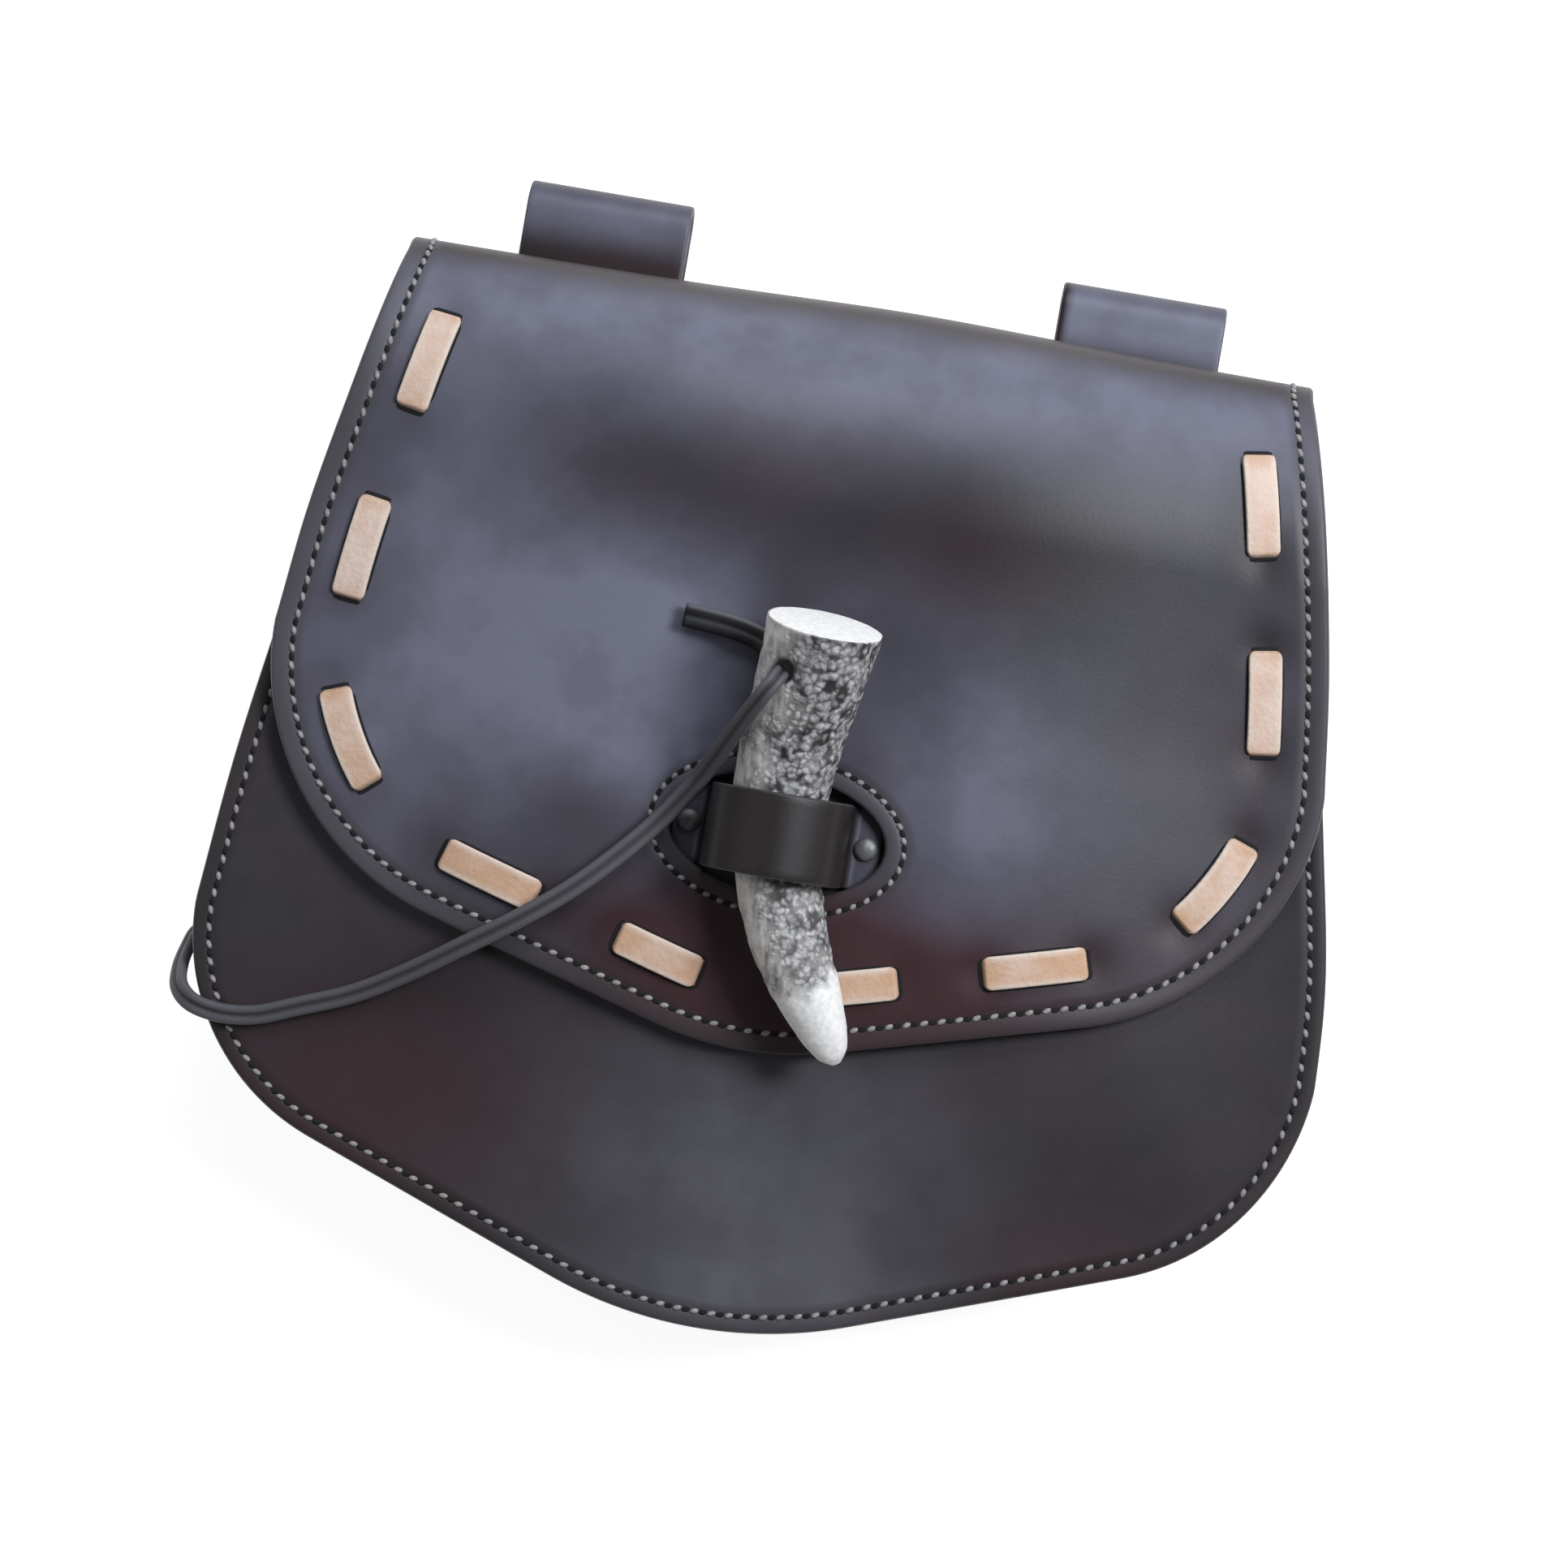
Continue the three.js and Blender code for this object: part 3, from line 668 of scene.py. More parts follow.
def bend_panel(bm, surface, relief, sheen, patches):
    """Gives a flat skin its colour patches, painted sheen and shade as well as browner dye, and its
    underside, and bends both over a surface.
    """
    brown_fade = 0.7
    depth, wear, rim = [bm.verts.layers.float[name] for name in ("depth", "wear", "rim")]
    paint = [bm.verts.layers.float.new(name) for name in ("sheen", "brown")]
    # Painted sheen and browner dye from the patches, with less painted sheen along the rims
    for vert in bm.verts:
        base = sheen + RIM_PAINTED_SHEEN * vert[rim]
        for layer, value in zip(paint, patch_values(base, patches, vert.co.x, -vert.co.y)):
            vert[layer] = value
        vert[wear] *= 1.0 - brown_fade * vert[paint[1]]
    for face in bm.faces:
        face.normal_update()
        if face.normal.z < 0.0:
            face.normal_flip()
    copied = bmesh.ops.duplicate(bm, geom=bm.faces[:] + bm.edges[:] + bm.verts[:])["geom"]
    for vert in of_kind(copied, bmesh.types.BMVert):
        vert[depth] = LEATHER - vert[depth]
    bmesh.ops.reverse_faces(bm, faces=of_kind(copied, bmesh.types.BMFace))
    for vert in bm.verts:
        across, up, _ = vert.co
        vert.co = surface(across, up) + outward(surface, across, up) * (relief(across, up) - vert[depth])
    bmesh.ops.remove_doubles(bm, verts=bm.verts[:], dist=PANEL_WELD)


def patch_values(sheen, patches, across, down):
    """Painted sheen and brownness of a panel at a place of its pattern."""
    brown = 0.0
    for middle_across, middle_down, half_wide, half_tall, patch_sheen, patch_brown in patches:
        away = math.hypot((across - middle_across) / half_wide, (down - middle_down) / half_tall)
        share = bump(away, 1.0)
        sheen += patch_sheen * share
        brown += patch_brown * share
    return clamp(sheen), clamp(brown)


def skin_over(rings, caps=True, **paint):
    """Closed skin over rings of points; each paint names a value and gives it for a ring and a point."""
    around = len(rings[0])
    rows = len(rings) - 1
    bm = bmesh.new()
    layers = {name: bm.verts.layers.float.new(name) for name in paint}
    bmesh.ops.create_grid(bm, x_segments=around, y_segments=rows, size=1.0)
    for vert in bm.verts:
        column = round((vert.co.x + 1.0) / 2.0 * around) % around
        row = round((vert.co.y + 1.0) / 2.0 * rows)
        vert.co = rings[row][column]
        for name, value in paint.items():
            vert[layers[name]] = value(row, column)
    bmesh.ops.remove_doubles(bm, verts=bm.verts[:], dist=WELD)
    if caps:
        bmesh.ops.holes_fill(bm, edges=[edge for edge in bm.edges if edge.is_boundary], sides=0)
    bmesh.ops.recalc_face_normals(bm, faces=bm.faces[:])
    return bm


def strap_section(width, thickness, corner, flat_steps):
    """Rounded strap section as (aside, out), with points along its two flat faces."""
    corner_steps = 4
    half_wide = width / 2 - corner
    half_thick = thickness / 2 - corner
    made = []
    for turn, (side, face) in enumerate(((1, 1), (-1, 1), (-1, -1), (1, -1))):
        for step in range(corner_steps + 1):
            angle = math.pi / 2 * (turn + step / corner_steps)
            aside = side * half_wide + corner * math.cos(angle)
            made.append((aside, face * half_thick + corner * math.sin(angle)))
        if turn in (0, 2):
            for step in range(1, flat_steps):
                made.append((lerp(half_wide, -half_wide, step / flat_steps) * face, face * thickness / 2))
    return made


def strap_rings(points, frames, section):
    """Rings of a strap along a line, with its ends rounded over."""
    end_scales = (0.82, 0.95)
    narrowing = 0.1
    rings = []
    last = len(points) - 1
    for i, (point, (_, aside, out)) in enumerate(zip(points, frames)):
        from_end = min(i, last - i)
        scale = end_scales[from_end] if from_end < len(end_scales) else 1.0
        wide = 1.0 - (1.0 - scale) * narrowing
        rings.append([point + aside * (x * wide) + out * (y * scale) for x, y in section])
    return rings


def edge_wear(section, half, band, amount):
    """Wear of a strap's section: that much along its edges, over a band inside them."""
    return [amount * smoothstep(abs(aside), half - band, half) for aside, _ in section]


def bead_place(point, forward, aside, normal, size):
    """Matrix of a bead with its half sizes along forward, aside and normal."""
    turn = Matrix((aside * size[1], normal * size[2], forward * size[0])).transposed().to_4x4()
    return Matrix.Translation(point) @ turn


def strewn_beads(places, around, along):
    """Many small beads as one mesh."""
    unit = bmesh.new()
    bmesh.ops.create_uvsphere(unit, u_segments=around, v_segments=along, radius=1.0)
    bead = bpy.data.meshes.new("bead")
    unit.to_mesh(bead)
    unit.free()
    bm = bmesh.new()
    for place in places:
        placed = bead.copy()
        placed.transform(place)
        bm.from_mesh(placed)
        bpy.data.meshes.remove(placed)
    bpy.data.meshes.remove(bead)
    return bm


# Materials

# Sockets of the node that mixes two colours
MIX_SHARE = 0
MIX_FIRST = 6
MIX_SECOND = 7
MIX_RESULT = 2


def new_material(name):
    made = bpy.data.materials.new(name)
    made.use_nodes = True
    return made, made.node_tree


def feed(tree, node, inputs):
    """Sets a node's inputs to values, or links them to other nodes' outputs."""
    for key, value in inputs.items():
        if isinstance(value, bpy.types.NodeSocket):
            tree.links.new(value, node.inputs[key])
        else:
            node.inputs[key].default_value = value


def add_node(tree, kind, inputs=None, **settings):
    made = tree.nodes.new(kind)
    for key, value in settings.items():
        setattr(made, key, value)
    feed(tree, made, inputs or {})
    return made


def shaded(made, inputs):
    """Feeds a material's shader."""
    feed(made.node_tree, made.node_tree.nodes["Principled BSDF"], inputs)
    return made


def place_on(tree):
    return add_node(tree, "ShaderNodeTexCoord").outputs["Object"]


def cloud(tree, where, scale, detail=4.0, roughness=0.55):
    inputs = {"Vector": where, "Scale": scale, "Detail": detail, "Roughness": roughness}
    return add_node(tree, "ShaderNodeTexNoise", inputs).outputs["Fac"]


def spread(tree, value, band, to=(0.0, 1.0)):
    """A band of a value's levels, spread softly over other levels."""
    inputs = {"Value": value, "From Min": band[0], "From Max": band[1], "To Min": to[0], "To Max": to[1]}
    return add_node(tree, "ShaderNodeMapRange", inputs, interpolation_type="SMOOTHSTEP").outputs["Result"]


def clouds(tree, where, scale, detail=4.0, roughness=0.55, band=(0.35, 0.65), to=(0.0, 1.0)):
    return spread(tree, cloud(tree, where, scale, detail, roughness), band, to)


def calculate(tree, operation, first, second, clamped=False):
    inputs = {0: first, 1: second}
    return add_node(tree, "ShaderNodeMath", inputs, operation=operation, use_clamp=clamped).outputs[0]


def mix_colours(tree, share, first, second):
    """Mix of two colours, each a value or another node's output."""
    ends = [end if isinstance(end, bpy.types.NodeSocket) else (*end, 1.0) for end in (first, second)]
    inputs = {MIX_SHARE: share, MIX_FIRST: ends[0], MIX_SECOND: ends[1]}
    return add_node(tree, "ShaderNodeMix", inputs, data_type="RGBA").outputs[MIX_RESULT]


def raised(tree, height, strength, distance):
    """Direction of a surface with a bump."""
    inputs = {"Height": height, "Strength": strength, "Distance": distance}
    return add_node(tree, "ShaderNodeBump", inputs).outputs["Normal"]


def painted(tree, name):
    """Value that the mesh carries at each point."""
    return add_node(tree, "ShaderNodeAttribute", attribute_name=name).outputs["Fac"]


def shade(colour, factor):
    return [factor * value for value in colour]


def blend(first, second, share):
    return [lerp(a, b, share) for a, b in zip(first, second)]


def leather(name, dark, warm, sheen, worn, roughness, shine=0.31):
    """Dyed leather: clouded colour, soft patches of painted sheen, fine grain and paler cut edges; the
    painted sheen stands in for reflected light, and on the thong, whose sheen colour is dark, for shade.
    """
    made, tree = new_material(name)
    where = place_on(tree)
    browner = clouds(tree, where, scale=24.0, detail=3.0, to=(0.0, 0.35))
    specks = clouds(tree, where, scale=600.0, detail=2.0, band=(0.5, 0.8), to=(0.0, 0.05))
    # Share of the painted sheen colour: the painted sheen, broken up by a mottle
    mottle = clouds(tree, where, scale=55.0, detail=5.0, roughness=0.6, band=(0.30, 0.70), to=(0.82, 1.18))
    paler = calculate(tree, "MULTIPLY", painted(tree, "sheen"), mottle, clamped=True)
    colour = mix_colours(tree, calculate(tree, "MAXIMUM", browner, painted(tree, "brown")), dark, warm)
    colour = mix_colours(tree, paler, colour, sheen)
    colour = mix_colours(tree, specks, colour, worn)
    colour = mix_colours(tree, painted(tree, "wear"), colour, worn)
    grain = cloud(tree, where, scale=1300.0, detail=1.0)
    return shaded(made, {
        "Base Color": colour,
        "Roughness": roughness,
        "Specular IOR Level": shine,
        "Normal": raised(tree, grain, strength=0.06, distance=0.0003),
    })


def tan_lace(name, middle, edge, stain):
    """Pale lace: fibrous flesh colour with lighter cut edges and tan places."""
    made, tree = new_material(name)
    where = place_on(tree)
    fibre_share = 0.3
    fibres = clouds(tree, where, scale=900.0, detail=3.0, band=(0.3, 0.7))
    stains = clouds(tree, where, scale=160.0, detail=2.0, band=(0.3, 0.7), to=(-0.25, 0.25))
    tans = calculate(tree, "ADD", painted(tree, "brown"), stains, clamped=True)
    colour = mix_colours(tree, fibres, middle, blend(middle, edge, fibre_share))
    colour = mix_colours(tree, tans, colour, stain)
    colour = mix_colours(tree, painted(tree, "wear"), colour, edge)
    return shaded(made, {
        "Base Color": colour,
        "Roughness": 0.75,
        "Normal": raised(tree, fibres, strength=0.25, distance=0.0003),
    })


def antler_bark(name, pale, cream, grey, pit):
    """Antler: pitted grey bark, cream where it is rubbed, white where it is smooth or sawn, and painted
    shade in the thong's hole.
    """
    made, tree = new_material(name)
    where = place_on(tree)
    wander = add_node(tree, "ShaderNodeTexNoise", {"Vector": where, "Scale": 480.0, "Detail": 1.0})
    reach = (0.0020, 0.0020, 0.0020)
    inputs = {0: wander.outputs["Color"], 1: reach, 2: where}
    shift = add_node(tree, "ShaderNodeVectorMath", inputs, operation="MULTIPLY_ADD").outputs["Vector"]
    pebbles = add_node(tree, "ShaderNodeTexVoronoi", {"Vector": shift, "Scale": 620.0}).outputs["Distance"]
    patchy = clouds(tree, where, scale=170.0, detail=2.0, band=(0.32, 0.68), to=(0.70, 1.15))
    crack = spread(tree, pebbles, band=(patchy, 0.10))
    tone = clouds(tree, where, scale=900.0, detail=3.0, band=(0.3, 0.7))
    rubbed = painted(tree, "sheen")
    smooth = painted(tree, "wear")
    healed = calculate(tree, "MAXIMUM", crack, rubbed)
    rough_pebble, rubbed_pebble, dulled = [
        mix_colours(tree, tone, shade(colour, darkest), colour)
        for colour, darkest in ((grey, 0.42), (cream, 0.8), (pale, 0.82))
    ]
    colour = mix_colours(tree, healed, pit, mix_colours(tree, rubbed, rough_pebble, rubbed_pebble))
    colour = mix_colours(tree, smooth, colour, dulled)
    # Pit colour in the thong's hole: painted shade of the hole
    colour = mix_colours(tree, painted(tree, "brown"), colour, pit)
    height = calculate(tree, "MAXIMUM", healed, smooth)
    return shaded(made, {
        "Base Color": colour,
        "Roughness": 0.6,
        "Normal": raised(tree, height, strength=0.5, distance=0.0005),
    })


def plain_finish(name, first, second, scale, roughness, metallic=0.0):
    """Two near colours in small clouds, with a fine bump."""
    made, tree = new_material(name)
    share = clouds(tree, place_on(tree), scale)
    return shaded(made, {
        "Base Color": mix_colours(tree, share, first, second),
        "Roughness": roughness,
        "Metallic": metallic,
        "Normal": raised(tree, share, strength=0.2, distance=0.0002),
    })


def lit_floor(name, colour, glow):
    """Pale floor of a light table."""
    made, tree = new_material(name)
    share = clouds(tree, place_on(tree), scale=4.0)
    return shaded(made, {
        "Base Color": mix_colours(tree, share, colour, shade(colour, 0.98)),
        "Roughness": 0.9,
        "Emission Color": (1.0, 1.0, 1.0, 1.0),
        "Emission Strength": glow,
    })


def shared_material(key, make, *values, **settings):
    """The material of that name, made when it is first asked for."""
    return bpy.data.materials.get(key) or make(key, *values, **settings)


def panel_leather(style, key="panel_finish", sheen=None):
    """Leather of the panels, with its own painted sheen colour or another."""
    colours = (style.dark, style.warm, sheen or style.sheen, style.worn)
    return shared_material(key, leather, *colours, style.roughness)


# Near-black finish of the painted shade in the needle holes and under the lace's stitches
def hole_finish(thread):
    return shared_material("hole_finish", plain_finish, thread.hole, thread.hole, scale=900.0, roughness=0.9)


# Settings that a user would change

def colour_setting(name, description, default):
    return FloatVectorProperty(
        name=name, description=description, subtype="COLOR", size=3, min=0.0, max=1.0, default=default
    )


def number_setting(name, description, default, **limits):
    return FloatProperty(name=name, description=description, default=default, **limits)


def length_setting(name, description, default):
    return number_setting(name, description, default, min=0.0, unit="LENGTH", precision=5)


class PouchLeather(bpy.types.PropertyGroup):
    """Colours of the leather pieces"""

    dark: colour_setting("Dark", "Darkest colour of the panels", (0.0125, 0.0106, 0.0110))
    warm: colour_setting("Warm", "Browner colour of the panels", (0.046, 0.0205, 0.0235))
    # The sheen colour is a painted sheen: a bluish colour that stands in for reflected light on the panels,
    # the loops and the keeper's feet
    sheen: colour_setting("Sheen", "Paler colour of the panels' worn places", (0.163, 0.164, 0.218))
    worn: colour_setting("Worn", "Colour of the cut edges", (0.085, 0.08, 0.085))
    strap: colour_setting("Keeper", "Colour of the keeper strap", (0.0135, 0.0098, 0.0096))
    roughness: number_setting("Roughness", "Roughness of the panels", 0.42, min=0.0, max=1.0)


class PouchThread(bpy.types.PropertyGroup):
    """Sizes and colours of the thread seams"""

    pitch: length_setting("Pitch", "Distance from stitch to stitch", 0.0037)
    radius: length_setting("Radius", "Half the thickness of the thread", 0.00060)
    flap_inset: length_setting("Flap seam", "Distance of the seam from the back and flap's edge", 0.0045)
    front_inset: length_setting("Front seam", "Distance of the seam from the edge of the front", 0.0036)
    window_inset: length_setting("Window seam", "Distance of the seam from the window", 0.0041)
    pale: colour_setting("Thread", "Colour of the thread", (0.35, 0.33, 0.325))
    # The holes' colour is the painted shade in the needle holes and in the beds under the lace
    hole: colour_setting("Holes", "Colour of the needle holes", (0.006, 0.006, 0.007))


class PouchTrim(bpy.types.PropertyGroup):
    """Colours of the lace, the thong, the antler and the rivets"""

    lace: colour_setting("Lace", "Colour of the lace's face", (0.70, 0.535, 0.44))
    lace_edge: colour_setting("Lace edge", "Colour of the lace's cut edges", (0.72, 0.60, 0.50))
    lace_stain: colour_setting("Lace tan", "Colour of the lace's tan places", (0.57, 0.355, 0.225))
    thong: colour_setting("Thong", "Colour of the thong", (0.060, 0.058, 0.064))
    antler: colour_setting("Antler", "Colour of the smooth and sawn antler", (0.94, 0.92, 0.885))
    cream: colour_setting("Rubbed antler", "Colour of the antler's rubbed bark", (0.80, 0.76, 0.70))
    bark: colour_setting("Bark", "Colour of the antler's bark", (0.62, 0.61, 0.61))
    pit: colour_setting("Pits", "Colour in the antler's pits", (0.024, 0.022, 0.021))
    rivet: colour_setting("Rivets", "Colour of the rivets", (0.22, 0.22, 0.215))


class PouchStage(bpy.types.PropertyGroup):
    """Camera, lights and floor"""

    camera_height: length_setting("Camera height", "Height of the camera over the floor", 1.0)
    lens: number_setting("Lens", "Focal length in millimetres", 103.75, min=1.0)
    roll: number_setting("Roll", "Turn of the camera", math.radians(9.75), subtype="ANGLE")
    floor: colour_setting("Floor", "Colour of the floor", (0.55, 0.55, 0.55))
    glow: number_setting("Floor glow", "Light that comes through the floor", 0.88, min=0.0)
    key: number_setting("Top light", "Strength of the light beyond the top edge", 7.0)
    side: number_setting("Right light", "Strength of the light that casts the shadows", 12.5)
    fill: number_setting("Left light", "Strength of the soft light at the left", 1.5)


# Operators

class POUCH_OT_stage(bpy.types.Operator):
    """Sets the camera, the lights and the floor"""

    bl_idname = "pouch.stage"
    bl_label = "Stage"

    def execute(self, context):
        scene = context.scene
        style = scene.pouch_stage
        self.add_camera(scene, style)
        for name, strength, place, size, colour in LIGHTS:
            self.add_light(scene, name, getattr(style, strength), place, size, colour)
        world = bpy.data.worlds.new("studio")
        world.use_nodes = True
        inputs = {"Color": ALL_ROUND["colour"], "Strength": ALL_ROUND["strength"]}
        feed(world.node_tree, world.node_tree.nodes["Background"], inputs)
        scene.world = world
        scene.view_settings.view_transform = "Standard"
        self.add_floor(style)
        return {"FINISHED"}

    def add_camera(self, scene, style):
        """Camera that stands a little aside and leans back over the pouch."""
        camera = bpy.data.objects.new("camera", bpy.data.cameras.new("camera"))
        camera.data.lens = style.lens
        camera.data.sensor_width = CAMERA["sensor_width"]
        across, along = CAMERA["middle"]
        camera.location = (across + CAMERA["aside"], along, style.camera_height)
        lean = math.atan2(CAMERA["aside"], style.camera_height - CAMERA["level"])
        camera.rotation_euler = (lean * math.sin(style.roll), lean * math.cos(style.roll), style.roll)
        scene.collection.objects.link(camera)
        scene.camera = camera

    def add_light(self, scene, name, power, place, size, colour):
        lamp = bpy.data.lights.new(name, "AREA")
        lamp.shape = "RECTANGLE"
        lamp.size, lamp.size_y = size
        lamp.energy = power
        lamp.color = colour
        made = bpy.data.objects.new(name, lamp)
        made.location = place
        made.rotation_euler = (-Vector(place)).to_track_quat("-Z", "Y").to_euler()
        scene.collection.objects.link(made)

    def add_floor(self, style):
        half_size = 3.0
        bm = bmesh.new()
        bmesh.ops.create_grid(bm, x_segments=2, y_segments=2, size=half_size)
        finish = shared_material("floor_finish", lit_floor, style.floor, style.glow)
        made = new_object(bm, "floor", finish)


class POUCH_OT_thong(bpy.types.Operator):
    """Lays the thong from the left side, over the flap, through the toggle to its tail"""

    bl_idname = "pouch.thong"
    bl_label = "Thong"

    width = 0.0042
    thickness = 0.0023
    corner = 0.0009
    groove = {"depth": 0.0004, "half_width": 0.0005, "pale_from": 0.0006}
    tail = {"width": 0.0050, "thin": 0.72, "edge": (0.0011, 0.0019), "edge_wear": 0.8}
    ridge_wear = 0.6
    narrow = 0.86
    turn_height = 0.069
    count = 330

    # Rows before and after the turn in the toggle, where the thong narrows, turns flat and is painted
    # darker: painted shade towards the toggle's hole and on the tail
    narrow_rows = (-70, -20)
    flat_rows = (-6, 6)
    shade_rows = ((0.4, -60, 0), (0.5, 0, 8))

    def execute(self, context):
        route = [spot(*point) for point in (THONG_ROOT, *THONG_ROUTE)]
        line = evenly(spline(route, steps=12), self.count)
        turn = max(i for i, point in enumerate(line) if point.z > self.turn_height)
        section = []
        for aside, out in strap_section(self.width, self.thickness, self.corner, flat_steps=8):
            sunk = self.groove["depth"] * bump(aside, self.groove["half_width"])
            section.append((aside, out - math.copysign(sunk, out)))
        ridges = [self.ridge_wear * (1.0 - bump(aside, self.groove["pale_from"])) for aside, _ in section]
        edge = [self.tail["edge_wear"] * smoothstep(-aside, *self.tail["edge"]) for aside, _ in section]
        bm = skin_over(
            self.rings(line, section, turn),
            wear=lambda row, column: ridges[column] if row < turn else edge[column],
            # Painted shade towards the toggle's hole and on the tail
            sheen=lambda row, column: sum(
                amount * smoothstep(row - turn, first, last) for amount, first, last in self.shade_rows
            ),
        )
        thong = context.scene.pouch_trim.thong
        # The darkest colour is the colour of the painted shade on the thong
        darker, darkest, lighter = [shade(thong, factor) for factor in (0.6, 0.12, 2.2)]
        finish = shared_material("thong_finish", leather, darker, thong, darkest, lighter, roughness=0.5)
        piece = finish_piece(bm, "thong_lace", finish, "thong_leather", "thong")
        return {"FINISHED"}

    def rings(self, line, section, turn):
        """Rings of the thong, which turns inside the antler so that its tail lies flat on the flap."""
        last = len(line) - 1
        over = carried_frames(line, UP, last // 2)
        flat = carried_frames(line, UP, last)
        rings = []
        for i, point in enumerate(line):
            tail = smoothstep(i - turn, *self.flat_rows)
            aside = over[i][1].lerp(flat[i][1], tail).normalized()
            out = over[i][0].cross(aside)
            narrow = lerp(1.0, self.narrow, smoothstep(i - turn, *self.narrow_rows))
            wide = lerp(narrow, self.tail["width"] / self.width, tail)
            thick = lerp(1.0, self.tail["thin"], tail)
            rings.append([point + aside * (x * wide) + out * (y * thick) for x, y in section])
        return rings


class POUCH_OT_back_and_flap(bpy.types.Operator):
    """Cuts the back and flap piece, with its window, and folds it over the top"""

    bl_idname = "pouch.back_and_flap"
    bl_label = "Back and flap"

    columns = 56
    rows = 190

    def execute(self, context):
        thread = context.scene.pouch_thread
        profile = edge_profile(LEATHER, thread.flap_inset)
        bm = cut_panel(self.outline(), 2 * self.columns, self.rows, profile)
        cut_window(bm, edge_profile(LEATHER, thread.window_inset))
        # Painted shade round each end of the lace's stitches
        size = PUCKER_SHADE["radius"]
        pucker_shades = [(end.x, -end.y, size, size, PUCKER_SHADE["sheen"], 0.0) for end in STITCH_ENDS]
        bend_panel(bm, wrapped, flap_relief, FLAP_PAINTED_SHEEN, [*FLAP_PATCHES, *pucker_shades])
        finish = panel_leather(context.scene.pouch_leather)
        finish_piece(bm, "back_and_flap_leather", finish, "dark_leather", "back_and_flap")
        return {"FINISHED"}

    @classmethod
    def outline(cls):
        """Closed outline of the pattern, from the flap's left corner round its tip and up the right."""
        steps = 24
        right = upturned(point for point in reversed(FLAP_SIDE) if point.y > ROLL["front"])
        for step in range(steps + 1):
            up = lerp(-ROLL["front"], BACK_UP, step / steps)
            down = max(TOP_Y - wrapped(0.0, up).y, 0.0)
            right.append(Vector((half_at(FLAP_SIDE if up < ROLL_TOP_UP else BODY_SIDE, down), up)))
        shift = Vector((0.0, BACK_UP - ROLL["back"]))
        right += [point + shift for point in BODY_SIDE if point.y > ROLL["back"]]
        back_bottom = [point + shift for point in BODY_BOTTOM]
        return looped(upturned(reversed(FLAP_BOTTOM)), right, back_bottom, cls.columns, cls.rows)


class POUCH_OT_front_panel(bpy.types.Operator):
    """Cuts the domed front panel"""

    bl_idname = "pouch.front_panel"
    bl_label = "Front panel"

    columns = 54
    rows = 92
    rim_wear = 0.45
    greyness = 0.55

    def execute(self, context):
        profile = edge_profile(LEATHER, context.scene.pouch_thread.front_inset, self.rim_wear)
        bm = cut_panel(self.outline(), 2 * self.columns, self.rows, profile)
        bend_panel(bm, front_face, front_relief, FRONT_PAINTED_SHEEN, FRONT_PATCHES)
        style = context.scene.pouch_leather
        # The front's painted sheen colour is greyer than the flap's
        grey = sum(style.sheen) / 3
        duller = blend(style.sheen, [grey] * 3, self.greyness)
        finish = panel_leather(style, "front_finish", duller)
        finish_piece(bm, "front_leather", finish, "dark_leather", "front_panel")
        return {"FINISHED"}

    @classmethod
    def outline(cls):
        """Closed outline of the pattern, with its two upper corners rounded."""
        radius = 0.010
        steps = 6
        level = FRONT_TOP + radius
        side = upturned(point for point in reversed(BODY_SIDE) if point.y > level)
        centre = Vector((half_at(BODY_SIDE, level) - radius, -level))
        angles = [math.pi / 2 * step / (2 * steps) for step in range(2 * steps + 1)]
        corner = [centre + radius * Vector((math.cos(angle), math.sin(angle))) for angle in angles]
        top = [*corner[steps:], Vector((0.0, -FRONT_TOP))]
        bottom = upturned(reversed(BODY_BOTTOM))
        return looped(bottom, [*side, *corner[:steps + 1]], top, cls.columns, cls.rows)


class POUCH_OT_gusset(bpy.types.Operator):
    """Runs the gusset round the sides and the bottom"""

    bl_idname = "pouch.gusset"
    bl_label = "Gusset"

    steps = 260
    wall_steps = 10
    flange_inset = 0.0006

    def execute(self, context):
        half = [point for point in BODY_SIDE if point.y > FRONT_TOP] + BODY_BOTTOM[1:]
        edge = evenly(mirrored(half) + half[::-1][1:], self.steps + 1)
        bm = skin_over([self.section(point, step) for point, step in zip(edge, steps_along(edge))])
        finish = panel_leather(context.scene.pouch_leather)
        finish_piece(bm, "gusset_leather", finish, "dark_leather", "gusset")
        return {"FINISHED"}

    def section(self, point, step):
        """Ring of a channel: two flanges along the seams and the bowed wall between them."""
        inward = -left_of(step)
        wall = []
        for place in range(self.wall_steps + 1):
            share = place / self.wall_steps
            wall.append((SEAM_WIDTH - STRAP - GUSSET_BULGE * math.sin(math.pi * share), share))
        first, last = (self.flange_inset, 0.0), (self.flange_inset, 1.0)
        outer = [first, *wall, last]
        inner = [first, *((inset + STRAP, share) for inset, share in wall), last]
        seam = point + inward * SEAM_WIDTH
        ring = []
        for line, thickness in ((outer, STRAP), (inner[::-1], 0.0)):
            for inset, share in line:
                place = point + inward * inset
                low = back_lift(place.y) + FIT + LEATHER + thickness
                high = front_top(*seam) - (FIT + LEATHER + thickness)
                ring.append(spot(*place, lerp(low, high, share)))
        return ring


